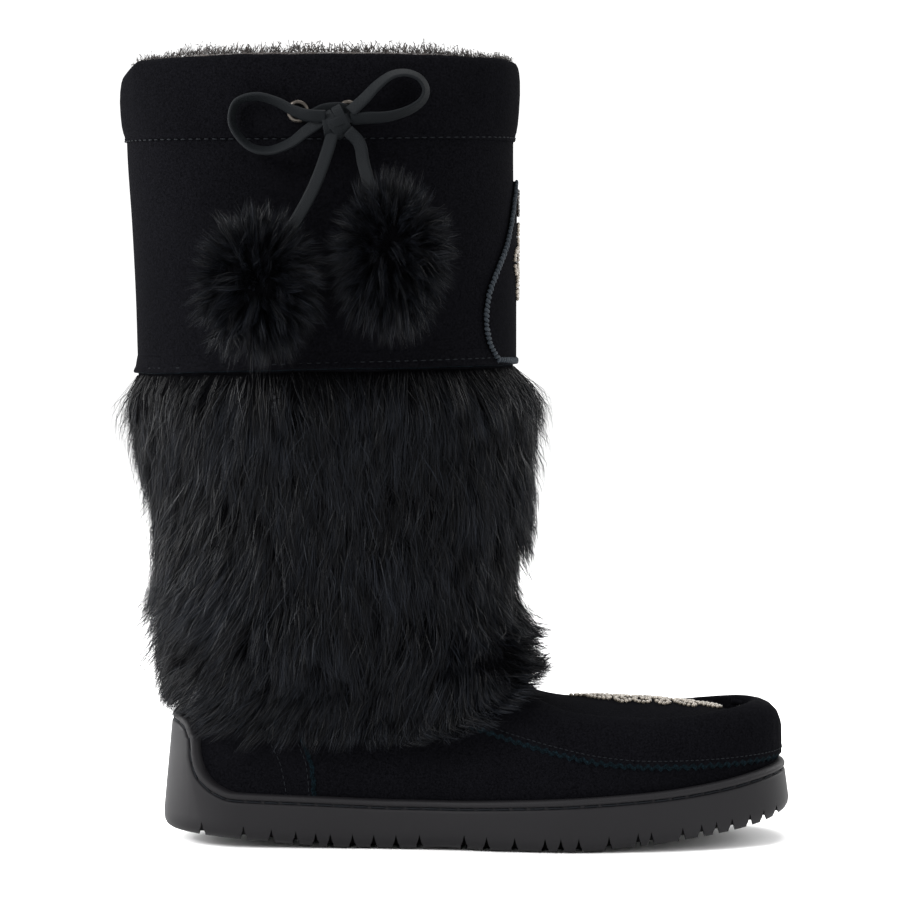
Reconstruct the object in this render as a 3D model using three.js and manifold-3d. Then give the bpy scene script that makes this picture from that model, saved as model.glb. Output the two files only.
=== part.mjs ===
// A knee-length mukluk boot for the right foot, women's EU 39.
// Lengths are in millimetres. X runs from the heel to the toe, Y to the inner side of the foot, Z up.
// The boot is drawn with X = 0 at the back of the heel, and the group moves it to its own origin.
import * as THREE from "three";
import { mergeVertices } from "three/addons/utils/BufferGeometryUtils.js";
import Module from "manifold-3d";

const wasm = await Module();
wasm.setup();

// ---------------------------------------------------------------- driving dimensions

const ORIGIN_X = 133; // from the back of the heel to the middle of the boot's length
const GAP = 0.3; // between pieces that meet

const SOLE = { length: 286, lipInset: 4.2, topZ: 64, topInset: 0.8, floorThick: 4.5 };
const HEEL_LEAN = 4.6; // how far the heel cup's top stands forward of its foot
const STITCH_GROOVE = { drop: 3.3, width: 1.3, depth: 0.9 }; // under the rubber's top edge
const LUG = { width: 3, depth: 7, reach: 15, pitch: 10.6, firstX: 20, lastX: 274 };
const WALL = 3.2; // suede and lining
const OVERLAY = 1.9; // how far the pieces sewn on the foot stand out from the suede
const PANEL = 1.5;
const TOE = { x: 280.8, crownZ: 61.8, crownX: 260, noseZ: 42, noseX: 257, noseRound: 3.8, rows: 7 };
const TOE_ROUND = { reach: 64, roundness: 2.35 }; // the toe and the heel in plan
const HEEL_ROUND = { foot: 37, shaft: 86, roundness: 2.2 };
const TOE_SWING = { from: 150, to: 281, shift: 5 };
const ANKLE = { low: 66, high: 114 }; // the foot's breadth turns into the shaft's between these heights
const SIDE_POINTS = 10; // points down each side of a section
const FOOT_OVERLAYS_END = 73.5; // the sewn pieces on the foot stop here, under the fur
const FUR_CLEARANCE = 2.3;
const CASING_BOTTOM = 317.5;

const EYELET = { rearX: 64.3, frontX: 86.1, z: 329, faceY: -61.9, flangeR: 5, boreR: 2.9, barrelR: 3.6 };
const EYELET_DEPTH = { flange: 1, barrel: 1.5, hole: 4 };
const LACE = { radius: 1.5, sides: 8, step: 8 };
const KNOT = { x: 81.6, y: -70.6, z: 323.6, halfX: 6.4, halfY: 3.4, halfZ: 5.4 };
const POMPOM_DETAIL = 2;
const POMPOMS = [
  { name: "pompom_left", x: 48, y: -87, z: 254.5, halfX: 28.5, halfY: 24, halfZ: 33 },
  { name: "pompom_right", x: 105, y: -86, z: 267.5, halfX: 25.5, halfY: 23.5, halfZ: 34.5 },
];

// ---------------------------------------------------------------- tables

// Half breadths of the sole on the outer and inner side of the foot.
const soleBreadth = [
  { x: 0, outer: 33, inner: 33 },
  { x: 45, outer: 34.5, inner: 33.5 },
  { x: 85, outer: 35.5, inner: 32.5 },
  { x: 120, outer: 39, inner: 32.5 },
  { x: 155, outer: 45.5, inner: 37.5 },
  { x: 190, outer: 50, inner: 45 },
  { x: 215, outer: 49.5, inner: 48 },
  { x: 250, outer: 46, inner: 46.5 },
  { x: 285, outer: 44, inner: 44 },
];

// Heights along the sole: its underside, the floor that the foot stands on, and the rubber's top edge.
const soleHeights = [
  { x: 0, under: 6, floor: 17, lip: 25.4 },
  { x: 30, under: 4, floor: 16.5, lip: 25.3 },
  { x: 60, under: 1.4, floor: 16, lip: 24.2 },
  { x: 84, under: 0, floor: 15.3, lip: 23.3 },
  { x: 108, under: 0, floor: 14.5, lip: 22.6 },
  { x: 130, under: 0.9, floor: 13.6, lip: 22.6 },
  { x: 150, under: 0, floor: 12.8, lip: 23.1 },
  { x: 188, under: 0, floor: 12, lip: 24.9 },
  { x: 216, under: 2.2, floor: 13.4, lip: 26.5 },
  { x: 235, under: 4.3, floor: 15.8, lip: 28.3 },
  { x: 254, under: 6.7, floor: 19, lip: 30.9 },
  { x: 273, under: 9.8, floor: 23, lip: 34.5 },
  { x: 286, under: 13.4, floor: 26, lip: 37 },
];

// The heel cup's edge in the side view, from the rubber's top edge up to the back of the heel.
const cupEdge = [
  { x: 42, z: 24.9 },
  { x: 33, z: 25.4 },
  { x: 25, z: 28.4 },
  { x: 18.8, z: 34.4 },
  { x: 16, z: 42.5 },
  { x: 14.6, z: 51.6 },
  { x: 8.6, z: 58.6 },
];

// How far each level of the sole's wall stands in from its widest outline, and how much more at the toe.
const soleWall = [
  { rise: 0, inset: 5, toeLean: 0 },
  { rise: 1.6, inset: 1.5, toeLean: 0 },
  { rise: 6, inset: 0, toeLean: 0 },
  { rise: 26, inset: 0.3, toeLean: 2.6 },
];

// Sections through the suede's outer surface. Each one runs from a point on the front line to one on the back
// line: level through the shaft, fanned round the instep, upright through the foot. The front edge rounds over
// within reach, and a higher roundness makes a squarer shoulder.
const sections = [
  { frontX: 159.4, frontZ: 372, backX: -13.6, backZ: 372, reach: 86, roundness: 2.2 },
  { frontX: 160, frontZ: 352, backX: -15.6, backZ: 352, reach: 86, roundness: 2.2 },
  { frontX: 159.8, frontZ: 334, backX: -16, backZ: 334, reach: 87, roundness: 2.2 },
  { frontX: 159.4, frontZ: 312, backX: -15.4, backZ: 312, reach: 87, roundness: 2.2 },
  { frontX: 159.6, frontZ: 280, backX: -13.4, backZ: 280, reach: 86, roundness: 2.2 },
  { frontX: 159.4, frontZ: 246, backX: -11.8, backZ: 246, reach: 86, roundness: 2.2 },
  { frontX: 159.4, frontZ: 212, backX: -10.8, backZ: 212, reach: 85, roundness: 2.2 },
  { frontX: 160.6, frontZ: 194, backX: -8.4, backZ: 194, reach: 84, roundness: 2.2 },
  { frontX: 159.4, frontZ: 176, backX: -4, backZ: 176, reach: 82, roundness: 2.2 },
  { frontX: 157, frontZ: 156, backX: 2.5, backZ: 156, reach: 78, roundness: 2.2 },
  { frontX: 153.6, frontZ: 134, backX: 6.4, backZ: 134, reach: 74, roundness: 2.2 },
  { frontX: 151, frontZ: 114, backX: 8, backZ: 112, reach: 70, roundness: 2.2 },
  { frontX: 150.6, frontZ: 101, backX: 7.8, backZ: 93, reach: 66, roundness: 2.25 },
  { frontX: 152, frontZ: 91, backX: 8.6, backZ: 74, reach: 60, roundness: 2.35 },
  { frontX: 155, frontZ: 83, backX: 9.2, backZ: 59, reach: 54, roundness: 2.5 },
  { frontX: 158.6, frontZ: 77.4, backX: 7.8, backZ: 44, reach: 49, roundness: 2.7 },
  { frontX: 162.6, frontZ: 73, backX: 6.6, backZ: 29, reach: 45, roundness: 2.9 },
  { frontX: 166.6, frontZ: 69.6, backX: 6, backZ: 10, reach: 41, roundness: 3.1 },
  { frontX: 171, frontZ: 67, backX: 40, backZ: 8, reach: 38, roundness: 3.3 },
  { frontX: 176, frontZ: 65, backX: 90, backZ: 7, reach: 35, roundness: 3.5 },
  { frontX: 182, frontZ: 63.4, backX: 140, backZ: 7, reach: 33, roundness: 3.7 },
  { frontX: 190, frontZ: 62, backX: 184, backZ: 7, reach: 31, roundness: 3.9 },
  { frontX: 206, frontZ: 60.8, backX: 206, backZ: 7, reach: 30, roundness: 4 },
  { frontX: 224, frontZ: 60.2, backX: 224, backZ: 8, reach: 29, roundness: 4 },
];

// Half breadth of the shaft by height.
const shaftBreadth = [
  { z: 66, half: 38 },
  { z: 114, half: 44 },
  { z: 140, half: 48 },
  { z: 180, half: 55 },
  { z: 215, half: 58.5 },
  { z: 260, half: 60 },
  { z: 320, half: 60 },
  { z: 372, half: 58 },
];

// Depth of the fur outside the suede, and the casing's fullness, by height.
const furDepth = [
  { z: 30, depth: 9 },
  { z: 55, depth: 12 },
  { z: 72, depth: 15 },
  { z: 84, depth: 16 },
  { z: 94, depth: 14.5 },
  { z: 106, depth: 13 },
  { z: 140, depth: 12 },
  { z: 180, depth: 10.6 },
  { z: 200, depth: 10 },
  { z: 208, depth: 7.6 },
  { z: 216, depth: 2.5 },
];
const casingDepth = [
  { z: 318, depth: 1 },
  { z: 323, depth: 1.5 },
  { z: 336, depth: 2.5 },
  { z: 350, depth: 2.6 },
  { z: 360, depth: 1.6 },
];

// Edges in the side view: the collar's rim, the foot of the suede cuff, and the hem of the fur.
const rimLine = [
  { x: -30, z: 345 },
  { x: -17, z: 346.4 },
  { x: -8, z: 353 },
  { x: 75, z: 354.4 },
  { x: 150, z: 354 },
  { x: 175, z: 350.6 },
];
const cuffLine = [
  { x: -30, z: 212.4 },
  { x: 70, z: 216.2 },
  { x: 190, z: 217.6 },
];
const hemLine = [
  { x: -40, z: 67 },
  { x: 2, z: 66.5 },
  { x: 18, z: 61 },
  { x: 34, z: 54 },
  { x: 64, z: 48.5 },
  { x: 108, z: 48.5 },
  { x: 140, z: 53 },
  { x: 158, z: 60 },
  { x: 174, z: 69 },
  { x: 188, z: 90 },
];

// The vamp wall's pinked lower edge and the heel counter's front edge, in the side view.
const pinkedLine = [
  { x: 128, z: 60 },
  { x: 144, z: 54.8 },
  { x: 162, z: 49 },
  { x: 181, z: 43.8 },
  { x: 198, z: 40.2 },
  { x: 217, z: 38.2 },
  { x: 240, z: 37.8 },
  { x: 290, z: 39.4 },
];
const counterEdge = [
  { x: 60, z: 72 },
  { x: 63.5, z: 49 },
  { x: 67.6, z: 37 },
  { x: 69.4, z: 14 },
];

// The beaded apron on top of the foot: half breadth, height of its edge, and height of its crown over the edge.
const apron = [
  { x: 163, half: 21, edgeZ: 64.4, crown: 6 },
  { x: 172, half: 27, edgeZ: 61.6, crown: 5.6 },
  { x: 184, half: 31.4, edgeZ: 58.8, crown: 6.2 },
  { x: 200, half: 33.6, edgeZ: 57, crown: 7.4 },
  { x: 218, half: 33.6, edgeZ: 55.8, crown: 7.6 },
  { x: 236, half: 31, edgeZ: 55.2, crown: 6.6 },
  { x: 249, half: 26.4, edgeZ: 55, crown: 5.2 },
  { x: 258, half: 20.6, edgeZ: 54.8, crown: 3.4 },
  { x: 264, half: 14, edgeZ: 54.6, crown: 1.8 },
  { x: 268, half: 4, edgeZ: 54.4, crown: 0.6 },
];
const APRON_THICK = 2;

// The beaded panel on the front of the shaft: half breadth by height.
const frontPanel = [
  { z: 299.6, half: 5 },
  { z: 291, half: 12 },
  { z: 281, half: 17.6 },
  { z: 270, half: 23.6 },
  { z: 259, half: 30.6 },
  { z: 247.5, half: 35.4 },
  { z: 238, half: 36.3 },
  { z: 228, half: 34.6 },
  { z: 219.6, half: 29.4 },
];

// ---------------------------------------------------------------- small functions

const clamp01 = (t) => Math.min(1, Math.max(0, t));
const lerp = (a, b, t) => a + (b - a) * t;
const ease = (low, high, v) => {
  const t = clamp01((v - low) / (high - low));
  return t * t * (3 - 2 * t);
};

// The value of a column at a place along a table, on a smooth curve that never overshoots its rows.
function along(table, key, column, at) {
  const rows = table[0][key] < table[table.length - 1][key] ? table : [...table].reverse();
  const last = rows.length - 1;
  if (at <= rows[0][key]) return rows[0][column];
  if (at >= rows[last][key]) return rows[last][column];
  const i = rows.findIndex((row) => row[key] > at) - 1;
  const slope = (a) => (rows[a + 1][column] - rows[a][column]) / (rows[a + 1][key] - rows[a][key]);
  const tangent = (a) => {
    if (a === 0) return slope(0);
    if (a === last) return slope(last - 1);
    const [before, after] = [slope(a - 1), slope(a)];
    return before * after <= 0 ? 0 : (2 * before * after) / (before + after);
  };
  const span = rows[i + 1][key] - rows[i][key];
  const t = (at - rows[i][key]) / span;
  const [t2, t3] = [t * t, t * t * t];
  return (
    (2 * t3 - 3 * t2 + 1) * rows[i][column] +
    (t3 - 2 * t2 + t) * span * tangent(i) +
    (3 * t2 - 2 * t3) * rows[i + 1][column] +
    (t3 - t2) * span * tangent(i + 1)
  );
}

// From 0 at an end to 1 a reach away from it, as the quarter of a superellipse.
const endRound = (distance, reach, roundness) =>
  distance >= reach ? 1 : Math.pow(1 - Math.pow(1 - Math.max(0, distance) / reach, roundness), 1 / roundness);

// How far the toe leans to the inner side of the foot.
const toeSwing = (x) => TOE_SWING.shift * ease(TOE_SWING.from, TOE_SWING.to, x);

// A heights column of the sole's table as a side-view line.
const soleLine = (column) => soleHeights.map((row) => ({ x: row.x, z: row[column] }));

// ---------------------------------------------------------------- making solids

// A closed geometry as a manifold-3d solid.
function solid(geometry) {
  const bare = new THREE.BufferGeometry().setAttribute("position", geometry.getAttribute("position"));
  if (geometry.index) bare.setIndex(geometry.index);
  const merged = mergeVertices(bare, 1e-4);
  const index = merged.index.array;
  const triVerts = [];
  for (let i = 0; i < index.length; i += 3) {
    const [a, b, c] = [index[i], index[i + 1], index[i + 2]];
    if (a !== b && b !== c && c !== a) triVerts.push(a, b, c);
  }
  const vertProperties = merged.getAttribute("position").array;
  return new wasm.Manifold(new wasm.Mesh({ numProp: 3, vertProperties, triVerts: new Uint32Array(triVerts) }));
}

// The main body of a cut piece, without the crumbs that a cut can leave beside it.
const mainBody = (made) => made.decompose().reduce((a, b) => (b.volume() > a.volume() ? b : a));

// A solid back as a geometry, with flat faces.
function geometryOf(made) {
  const mesh = made.getMesh();
  return new THREE.BufferGeometry()
    .setAttribute("position", new THREE.BufferAttribute(new Float32Array(mesh.vertProperties), 3))
    .setIndex(new THREE.BufferAttribute(new Uint32Array(mesh.triVerts), 1))
    .toNonIndexed();
}

// A closed skin over rings of points. Each ring lists its outer side from first to last, then its inner side in
// the same order. The first and last rings are closed across, and so are the two ends of every ring.
function skin(rings) {
  const count = rings[0].outer.length;
  const last = rings.length - 1;
  const positions = rings.flatMap((ring) => [...ring.outer, ...ring.inner].flatMap((p) => [p.x, p.y, p.z]));
  const index = [];
  const at = (ring, side, i) => (2 * ring + side) * count + i;
  const quad = (a, b, c, d) => index.push(a, b, c, a, c, d);
  for (let r = 0; r < last; r++) {
    for (let i = 0; i + 1 < count; i++) {
      quad(at(r, 0, i), at(r, 0, i + 1), at(r + 1, 0, i + 1), at(r + 1, 0, i));
      quad(at(r + 1, 1, i), at(r + 1, 1, i + 1), at(r, 1, i + 1), at(r, 1, i));
    }
    quad(at(r, 0, 0), at(r + 1, 0, 0), at(r + 1, 1, 0), at(r, 1, 0));
    quad(at(r + 1, 0, count - 1), at(r, 0, count - 1), at(r, 1, count - 1), at(r + 1, 1, count - 1));
  }
  for (let i = 0; i + 1 < count; i++) {
    quad(at(0, 0, i + 1), at(0, 0, i), at(0, 1, i), at(0, 1, i + 1));
    quad(at(last, 0, i), at(last, 0, i + 1), at(last, 1, i + 1), at(last, 1, i));
  }
  const made = new THREE.BufferGeometry();
  return made.setAttribute("position", new THREE.Float32BufferAttribute(positions, 3)).setIndex(index);
}

// A ring for a skin, from a function that gives the point of each side, -1 for outer and 1 for inner.
const ringOf = (pointsOf) => ({ outer: pointsOf("outer", -1), inner: pointsOf("inner", 1) });

// A side-view outline, as points with x and z, made a block right through the boot.
function sideBlock(points) {
  const halfDepth = 150;
  const shape = new THREE.Shape(points.map((p) => new THREE.Vector2(p.x, p.z)));
  const block = new THREE.ExtrudeGeometry(shape, { depth: 2 * halfDepth, bevelEnabled: false });
  return solid(block.rotateX(Math.PI / 2).translate(0, halfDepth, 0));
}

// Everything over, or under, a line of the side view that is moved up by a shift.
function linePoints(line, shift, steps = 16) {
  const [from, to] = [-60, 310];
  return Array.from({ length: steps + 1 }, (_, i) => {
    const x = lerp(from, to, i / steps);
    return { x, z: along(line, "x", "z", x) + shift };
  });
}
const over = (line, shift = 0, steps = 16) =>
  sideBlock([{ x: 310, z: 420 }, { x: -60, z: 420 }, ...linePoints(line, shift, steps)]);
const under = (line, shift = 0, steps = 16) =>
  sideBlock([...linePoints(line, shift, steps), { x: 310, z: -40 }, { x: -60, z: -40 }]);
const levelLine = (z) => [{ x: -60, z }, { x: 310, z }];

// ---------------------------------------------------------------- the last

// Where the back of the boot stands at a height.
const backRows = sections.filter((row) => row.backX < 12);
const backX = (z) => along(backRows, "backZ", "backX", z);

// Half breadth of the suede at a point of the side view, grown by an offset. Down is the way from the front line.
function halfBreadth(side, point, down, row, offset) {
  const foot = along(soleBreadth, "x", side, point.x) - SOLE.lipInset;
  const shaft = along(shaftBreadth, "z", "half", point.z);
  const upward = ease(ANKLE.low, ANKLE.high, point.z);
  const heelReach = lerp(HEEL_ROUND.foot, HEEL_ROUND.shaft, upward) + offset;
  return (
    (lerp(foot, shaft, upward) + offset) *
    endRound(point.x - backX(point.z) + offset, heelReach, HEEL_ROUND.roundness) *
    endRound(TOE.x + offset - point.x, TOE_ROUND.reach + offset, TOE_ROUND.roundness) *
    endRound(down, row.reach + offset, row.roundness)
  );
}

// The front line's own direction outward at one of its rows.
function frontNormal(i) {
  const a = sections[Math.max(0, i - 1)];
  const b = sections[Math.min(sections.length - 1, i + 1)];
  const length = Math.hypot(b.frontX - a.frontX, b.frontZ - a.frontZ);
  return { x: (a.frontZ - b.frontZ) / length, z: (b.frontX - a.frontX) / length };
}

// The ends of every section grown by an offset, with the sections that round the toe over added.
function sectionEnds(offsetAt) {
  const rows = sections.map((row, i) => {
    const normal = frontNormal(i);
    const ahead = offsetAt(row.frontX, row.frontZ);
    const behind = row.backX < 12 ? offsetAt(row.backX, row.backZ) : 0;
    return {
      front: { x: row.frontX + ahead * normal.x, z: row.frontZ + ahead * normal.z },
      back: { x: row.backX - behind, z: row.backZ },
      reach: row.reach,
      roundness: row.roundness,
    };
  });
  const last = sections[sections.length - 1];
  const ahead = offsetAt(TOE.x, TOE.noseZ);
  for (let i = 1; i <= TOE.rows; i++) {
    const x = lerp(last.frontX, TOE.x + ahead, Math.sin((i / TOE.rows) * (Math.PI / 2)));
    const crown = lerp(last.frontZ, TOE.crownZ, ease(last.frontX, TOE.crownX, x));
    const nose = endRound(TOE.x + ahead - x, TOE.x - TOE.noseX, TOE.noseRound);
    const z = lerp(TOE.noseZ, crown + ahead, nose);
    const back = { x, z: last.backZ + 0.25 * (x - last.frontX) };
    rows.push({ front: { x, z }, back, reach: Math.max(10, last.reach * nose), roundness: last.roundness });
  }
  return rows;
}

// The boot's outer surface, grown by an offset that may change over the side view, as a closed solid.
function lastForm(offset) {
  const offsetAt = typeof offset === "function" ? offset : () => offset;
  const rings = sectionEnds(offsetAt).map((row) => {
    const length = Math.hypot(row.back.x - row.front.x, row.back.z - row.front.z);
    return ringOf((side, sign) =>
      Array.from({ length: SIDE_POINTS }, (_, i) => {
        const t = 0.5 * (1 - Math.cos((Math.PI * i) / (SIDE_POINTS - 1)));
        const point = { x: lerp(row.front.x, row.back.x, t), z: lerp(row.front.z, row.back.z, t) };
        const half = halfBreadth(side, point, t * length, row, offsetAt(point.x, point.z));
        return new THREE.Vector3(point.x, toeSwing(point.x) + sign * half, point.z);
      }),
    );
  });
  return solid(skin(rings));
}

// ---------------------------------------------------------------- sole and insole

// Half breadth of the sole's outline, standing in by an inset.
function soleHalf(side, x, inset) {
  const half = Math.max(0, along(soleBreadth, "x", side, x) - inset);
  const heel = endRound(x - inset, HEEL_ROUND.foot, HEEL_ROUND.roundness);
  return half * heel * endRound(SOLE.length - inset - x, TOE_ROUND.reach, TOE_ROUND.roundness);
}

// One level of the sole's wall. Its heel and toe may lean in, and its height is worked out along the foot.
function soleRing(inset, heelLean, toeLean, heightAt) {
  const steps = 22;
  return ringOf((side, sign) =>
    Array.from({ length: steps + 1 }, (_, i) => {
      const t = 0.5 * (1 - Math.cos((Math.PI * i) / steps));
      const plain = lerp(inset, SOLE.length - inset, t);
      const x = lerp(inset + heelLean, SOLE.length - inset - toeLean, t);
      return new THREE.Vector3(x, toeSwing(x) + sign * soleHalf(side, plain, inset), heightAt(x));
    }),
  );
}

// The sole's outside, as a block that stands up past the rubber's top edge.
function soleBlock(shrink = 0) {
  const wall = soleWall.map(({ rise, inset, toeLean }) =>
    soleRing(inset + shrink, 0, toeLean, (x) => along(soleHeights, "x", "under", x) + rise + shrink),
  );
  const { toeLean } = soleWall[soleWall.length - 1];
  const top = soleRing(SOLE.topInset + shrink, HEEL_LEAN, toeLean, () => SOLE.topZ);
  return solid(skin([...wall, top]));
}

// Everything over the rubber's top edge: the cup's edge at the heel, then the edge along the sides to the toe.
function overLip(shift) {
  const cup = [...cupEdge].reverse().map((p) => ({ x: p.x + shift, z: p.z + shift }));
  const sides = linePoints(soleLine("lip"), shift, 18).filter((p) => p.x > cupEdge[0].x + 4);
  return sideBlock([{ x: 310, z: 420 }, { x: -60, z: 420 }, { x: -60, z: cup[0].z }, ...cup, ...sides]);
}

// One lug groove into the sole's edge, with a pointed top.
function lugGroove(x, side, sign) {
  const half = LUG.width / 2;
  const top = along(soleHeights, "x", "under", x) + LUG.depth;
  const shoulder = top - 2.4;
  const shape = new THREE.Shape(
    [[-half, -12], [half, -12], [half, shoulder], [0, top], [-half, shoulder]].map((p) => new THREE.Vector2(...p)),
  );
  const edge = toeSwing(x) + sign * soleHalf(side, x, 0);
  const groove = new THREE.ExtrudeGeometry(shape, { depth: 2 * LUG.reach, bevelEnabled: false });
  return solid(groove.rotateX(Math.PI / 2).translate(x, edge + LUG.reach, 0));
}

function makeOutsole() {
  const { drop, width, depth } = STITCH_GROOVE;
  const grooveBand = overLip(-drop - width).subtract(overLip(-drop));
  const groove = soleBlock(-depth).subtract(soleBlock(depth)).intersect(grooveBand);
  const cavity = lastForm(GAP).subtract(under(soleLine("floor")));
  let rubber = soleBlock().subtract(overLip(0)).subtract(groove).subtract(cavity);
  for (let x = LUG.firstX; x < LUG.lastX; x += LUG.pitch) {
    rubber = rubber.subtract(lugGroove(x, "outer", -1)).subtract(lugGroove(x, "inner", 1));
  }
  return mainBody(rubber);
}

const makeInsole = () =>
  lastForm(-WALL - GAP)
    .subtract(under(soleLine("floor"), GAP))
    .subtract(over(soleLine("floor"), GAP + SOLE.floorThick));

// ---------------------------------------------------------------- upper and what is sewn to it

// The apron's outline as a column that stands right through the top of the foot.
function apronColumn(growth) {
  const last = apron.length - 1;
  const rings = [44, 110].map((z) =>
    ringOf((side, sign) =>
      apron.map((row, i) => {
        const x = row.x + (i === 0 ? -growth : i === last ? growth : 0);
        return new THREE.Vector3(x, toeSwing(row.x) + sign * (row.half + growth), z);
      }),
    ),
  );
  return solid(skin(rings));
}

const makeUpper = (suede) =>
  suede
    .subtract(lastForm(-WALL))
    .subtract(under(soleLine("floor"), GAP))
    .subtract(over(rimLine))
    .subtract(apronColumn(GAP));

// The apron: a thin plate, crowned across, with its edge a little under the wall round it.
function makeApron() {
  const steps = 8;
  const thick = 2;
  const rings = apron.map((row) => {
    const arc = (lift) =>
      Array.from({ length: steps + 1 }, (_, i) => {
        const across = (2 * i) / steps - 1;
        const z = row.edgeZ + row.crown * (1 - across * across) + lift;
        return new THREE.Vector3(row.x, toeSwing(row.x) + across * row.half, z);
      });
    return { outer: arc(-thick), inner: arc(0) };
  });
  return solid(skin(rings));
}

// The wall round the toe, turned in over the apron, with its pinked lower edge lying on the vamp.
const makeVampWall = (overSuede) =>
  lastForm(OVERLAY)
    .subtract(overSuede)
    .subtract(under(pinkedLine))
    .subtract(over(levelLine(FOOT_OVERLAYS_END)))
    .subtract(sideBlock([{ x: -60, z: -40 }, { x: 146, z: -40 }, { x: 146, z: 420 }, { x: -60, z: 420 }]))
    .subtract(apronColumn(GAP));

function makeHeelCounter(overSuede) {
  const front = counterEdge.map((p) => ({ x: p.x, z: Math.min(p.z, FOOT_OVERLAYS_END) }));
  const back = [{ x: -20, z: counterEdge[counterEdge.length - 1].z }, { x: -20, z: counterEdge[0].z }];
  return lastForm(OVERLAY)
    .subtract(overSuede)
    .intersect(sideBlock([...back, ...front].reverse()))
    .intersect(overLip(GAP));
}

// The fur leg, with its hair counted in the wall. Low down it stands clear of the pieces sewn on the foot.
function makeFurLeg() {
  const low = FOOT_OVERLAYS_END;
  const inside = lastForm((x, z) => lerp(FUR_CLEARANCE, GAP, ease(low + 3, low + 14, z)));
  return lastForm((x, z) => along(furDepth, "z", "depth", z))
    .subtract(inside)
    .subtract(over(cuffLine))
    .subtract(under(hemLine, 0, 26));
}

// The drawstring casing round the collar, with a hole for each eyelet.
function makeCasing(overSuede) {
  const band = lastForm((x, z) => along(casingDepth, "z", "depth", z))
    .subtract(overSuede)
    .subtract(over(rimLine))
    .subtract(under(levelLine(CASING_BOTTOM)));
  return [EYELET.rearX, EYELET.frontX].reduce((made, x) => {
    const hole = new THREE.CylinderGeometry(EYELET_DEPTH.hole, EYELET_DEPTH.hole, 40, 20);
    return made.subtract(solid(hole.translate(x, EYELET.faceY, EYELET.z)));
  }, band);
}

function makeFrontPanel(overSuede) {
  const left = frontPanel.map((row) => new THREE.Vector2(-row.half, row.z));
  const right = frontPanel.map((row) => new THREE.Vector2(row.half, row.z)).reverse();
  const column = new THREE.ExtrudeGeometry(new THREE.Shape([...left, ...right]), { depth: 80, bevelEnabled: false });
  const placed = solid(column.rotateX(Math.PI / 2).rotateZ(Math.PI / 2).translate(110, 0, 0));
  return lastForm(PANEL).subtract(overSuede).intersect(placed);
}

// An eyelet: a flange outside the casing with a barrel into its hole, turned about the way through.
function makeEyelet(x) {
  const { flangeR, boreR, barrelR, z, faceY } = EYELET;
  const { flange, barrel } = EYELET_DEPTH;
  const profile = [
    [boreR, barrel],
    [boreR, -flange],
    [flangeR - 0.6, -flange],
    [flangeR, -0.4],
    [flangeR, 0],
    [barrelR, 0],
    [barrelR, barrel],
    [boreR, barrel],
  ].map(([radius, height]) => new THREE.Vector2(radius, height));
  return new THREE.LatheGeometry(profile, 16).translate(x, faceY, z);
}

// ---------------------------------------------------------------- lace and pompoms

const point = (x, y, z) => new THREE.Vector3(x, y, z);

const laceCrossing = [
  point(64.3, -61.2, 329),
  point(64.3, -65.2, 328.6),
  point(69, -66.9, 326.6),
  point(75.4, -65.9, 329.6),
  point(82, -66.2, 330.4),
  point(86.1, -65.2, 329.2),
  point(86.1, -61.2, 329),
];

const laceRoutes = {
  bow_loop_left: [
    point(76.2, -70.4, 325.4),
    point(68.6, -70.2, 320.4),
    point(61.4, -69.4, 315),
    point(51.8, -67.4, 311.7),
    point(43.4, -65.4, 313.6),
    point(37, -64, 320.3),
    point(35.4, -63.4, 326.8),
    point(38, -64, 333),
    point(46.1, -65.8, 335.3),
    point(55, -67.6, 333),
    point(63.4, -70.4, 328.6),
    point(70, -72.8, 326.8),
    point(76.8, -73.4, 326.4),
  ],
  bow_loop_right: [
    point(87.6, -71.2, 325.2),
    point(95, -71, 325.8),
    point(104, -68.4, 326.5),
    point(113, -66, 329.4),
    point(118.8, -64.2, 333.8),
    point(120.2, -63.6, 338.8),
    point(117.3, -64, 343.5),
    point(111.5, -65.4, 345.6),
    point(105, -67, 344.4),
    point(98.8, -68.8, 339.8),
    point(93.4, -70.8, 334),
    point(87.4, -72.6, 328.4),
  ],
  lace_end_left: [
    point(79.8, -72, 319.4),
    point(77.4, -73.6, 311),
    point(73.6, -76, 300),
    point(68.4, -79.6, 288.6),
    point(60, -84, 274),
  ],
  lace_end_right: [
    point(86.4, -73.6, 320.2),
    point(91.4, -74.2, 314.6),
    point(93.2, -75.4, 306),
    point(96, -79, 296),
    point(101, -84, 282),
  ],
};

// A cord along a route, as a plain tube.
function cord(route) {
  const curve = new THREE.CatmullRomCurve3(route);
  const { radius, sides, step } = LACE;
  const circle = Array.from({ length: sides }, (_, i) => {
    const turn = (2 * Math.PI * i) / sides;
    return new THREE.Vector2(radius * Math.cos(turn), radius * Math.sin(turn));
  });
  const steps = Math.round(curve.getLength() / step) + 4;
  return solid(
    new THREE.ExtrudeGeometry(new THREE.Shape(circle), { steps, extrudePath: curve, bevelEnabled: false }),
  );
}

function makeKnot(growth = 0) {
  const ball = new THREE.SphereGeometry(1, 12, 8);
  ball.scale(KNOT.halfX + growth, KNOT.halfY + growth, KNOT.halfZ + growth);
  return ball.translate(KNOT.x, KNOT.y, KNOT.z);
}

function makePompom(pompom, growth = 0) {
  const ball = new THREE.IcosahedronGeometry(1, POMPOM_DETAIL);
  ball.scale(pompom.halfX + growth, pompom.halfY + growth, pompom.halfZ + growth);
  return ball.translate(pompom.x, pompom.y, pompom.z);
}

// ---------------------------------------------------------------- assembly

const material = (color, roughness, metalness = 0) =>
  new THREE.MeshStandardMaterial({ color, roughness, metalness });
const suedeLook = material(0x17171a, 0.95);
const rubberLook = material(0x3a393c, 0.7);
const furLook = material(0x1a1b1f, 1);
const fleeceLook = material(0x6b6461, 1);
const laceLook = material(0x20242a, 0.75);
const gunmetalLook = material(0x4a4540, 0.35, 1);

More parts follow.
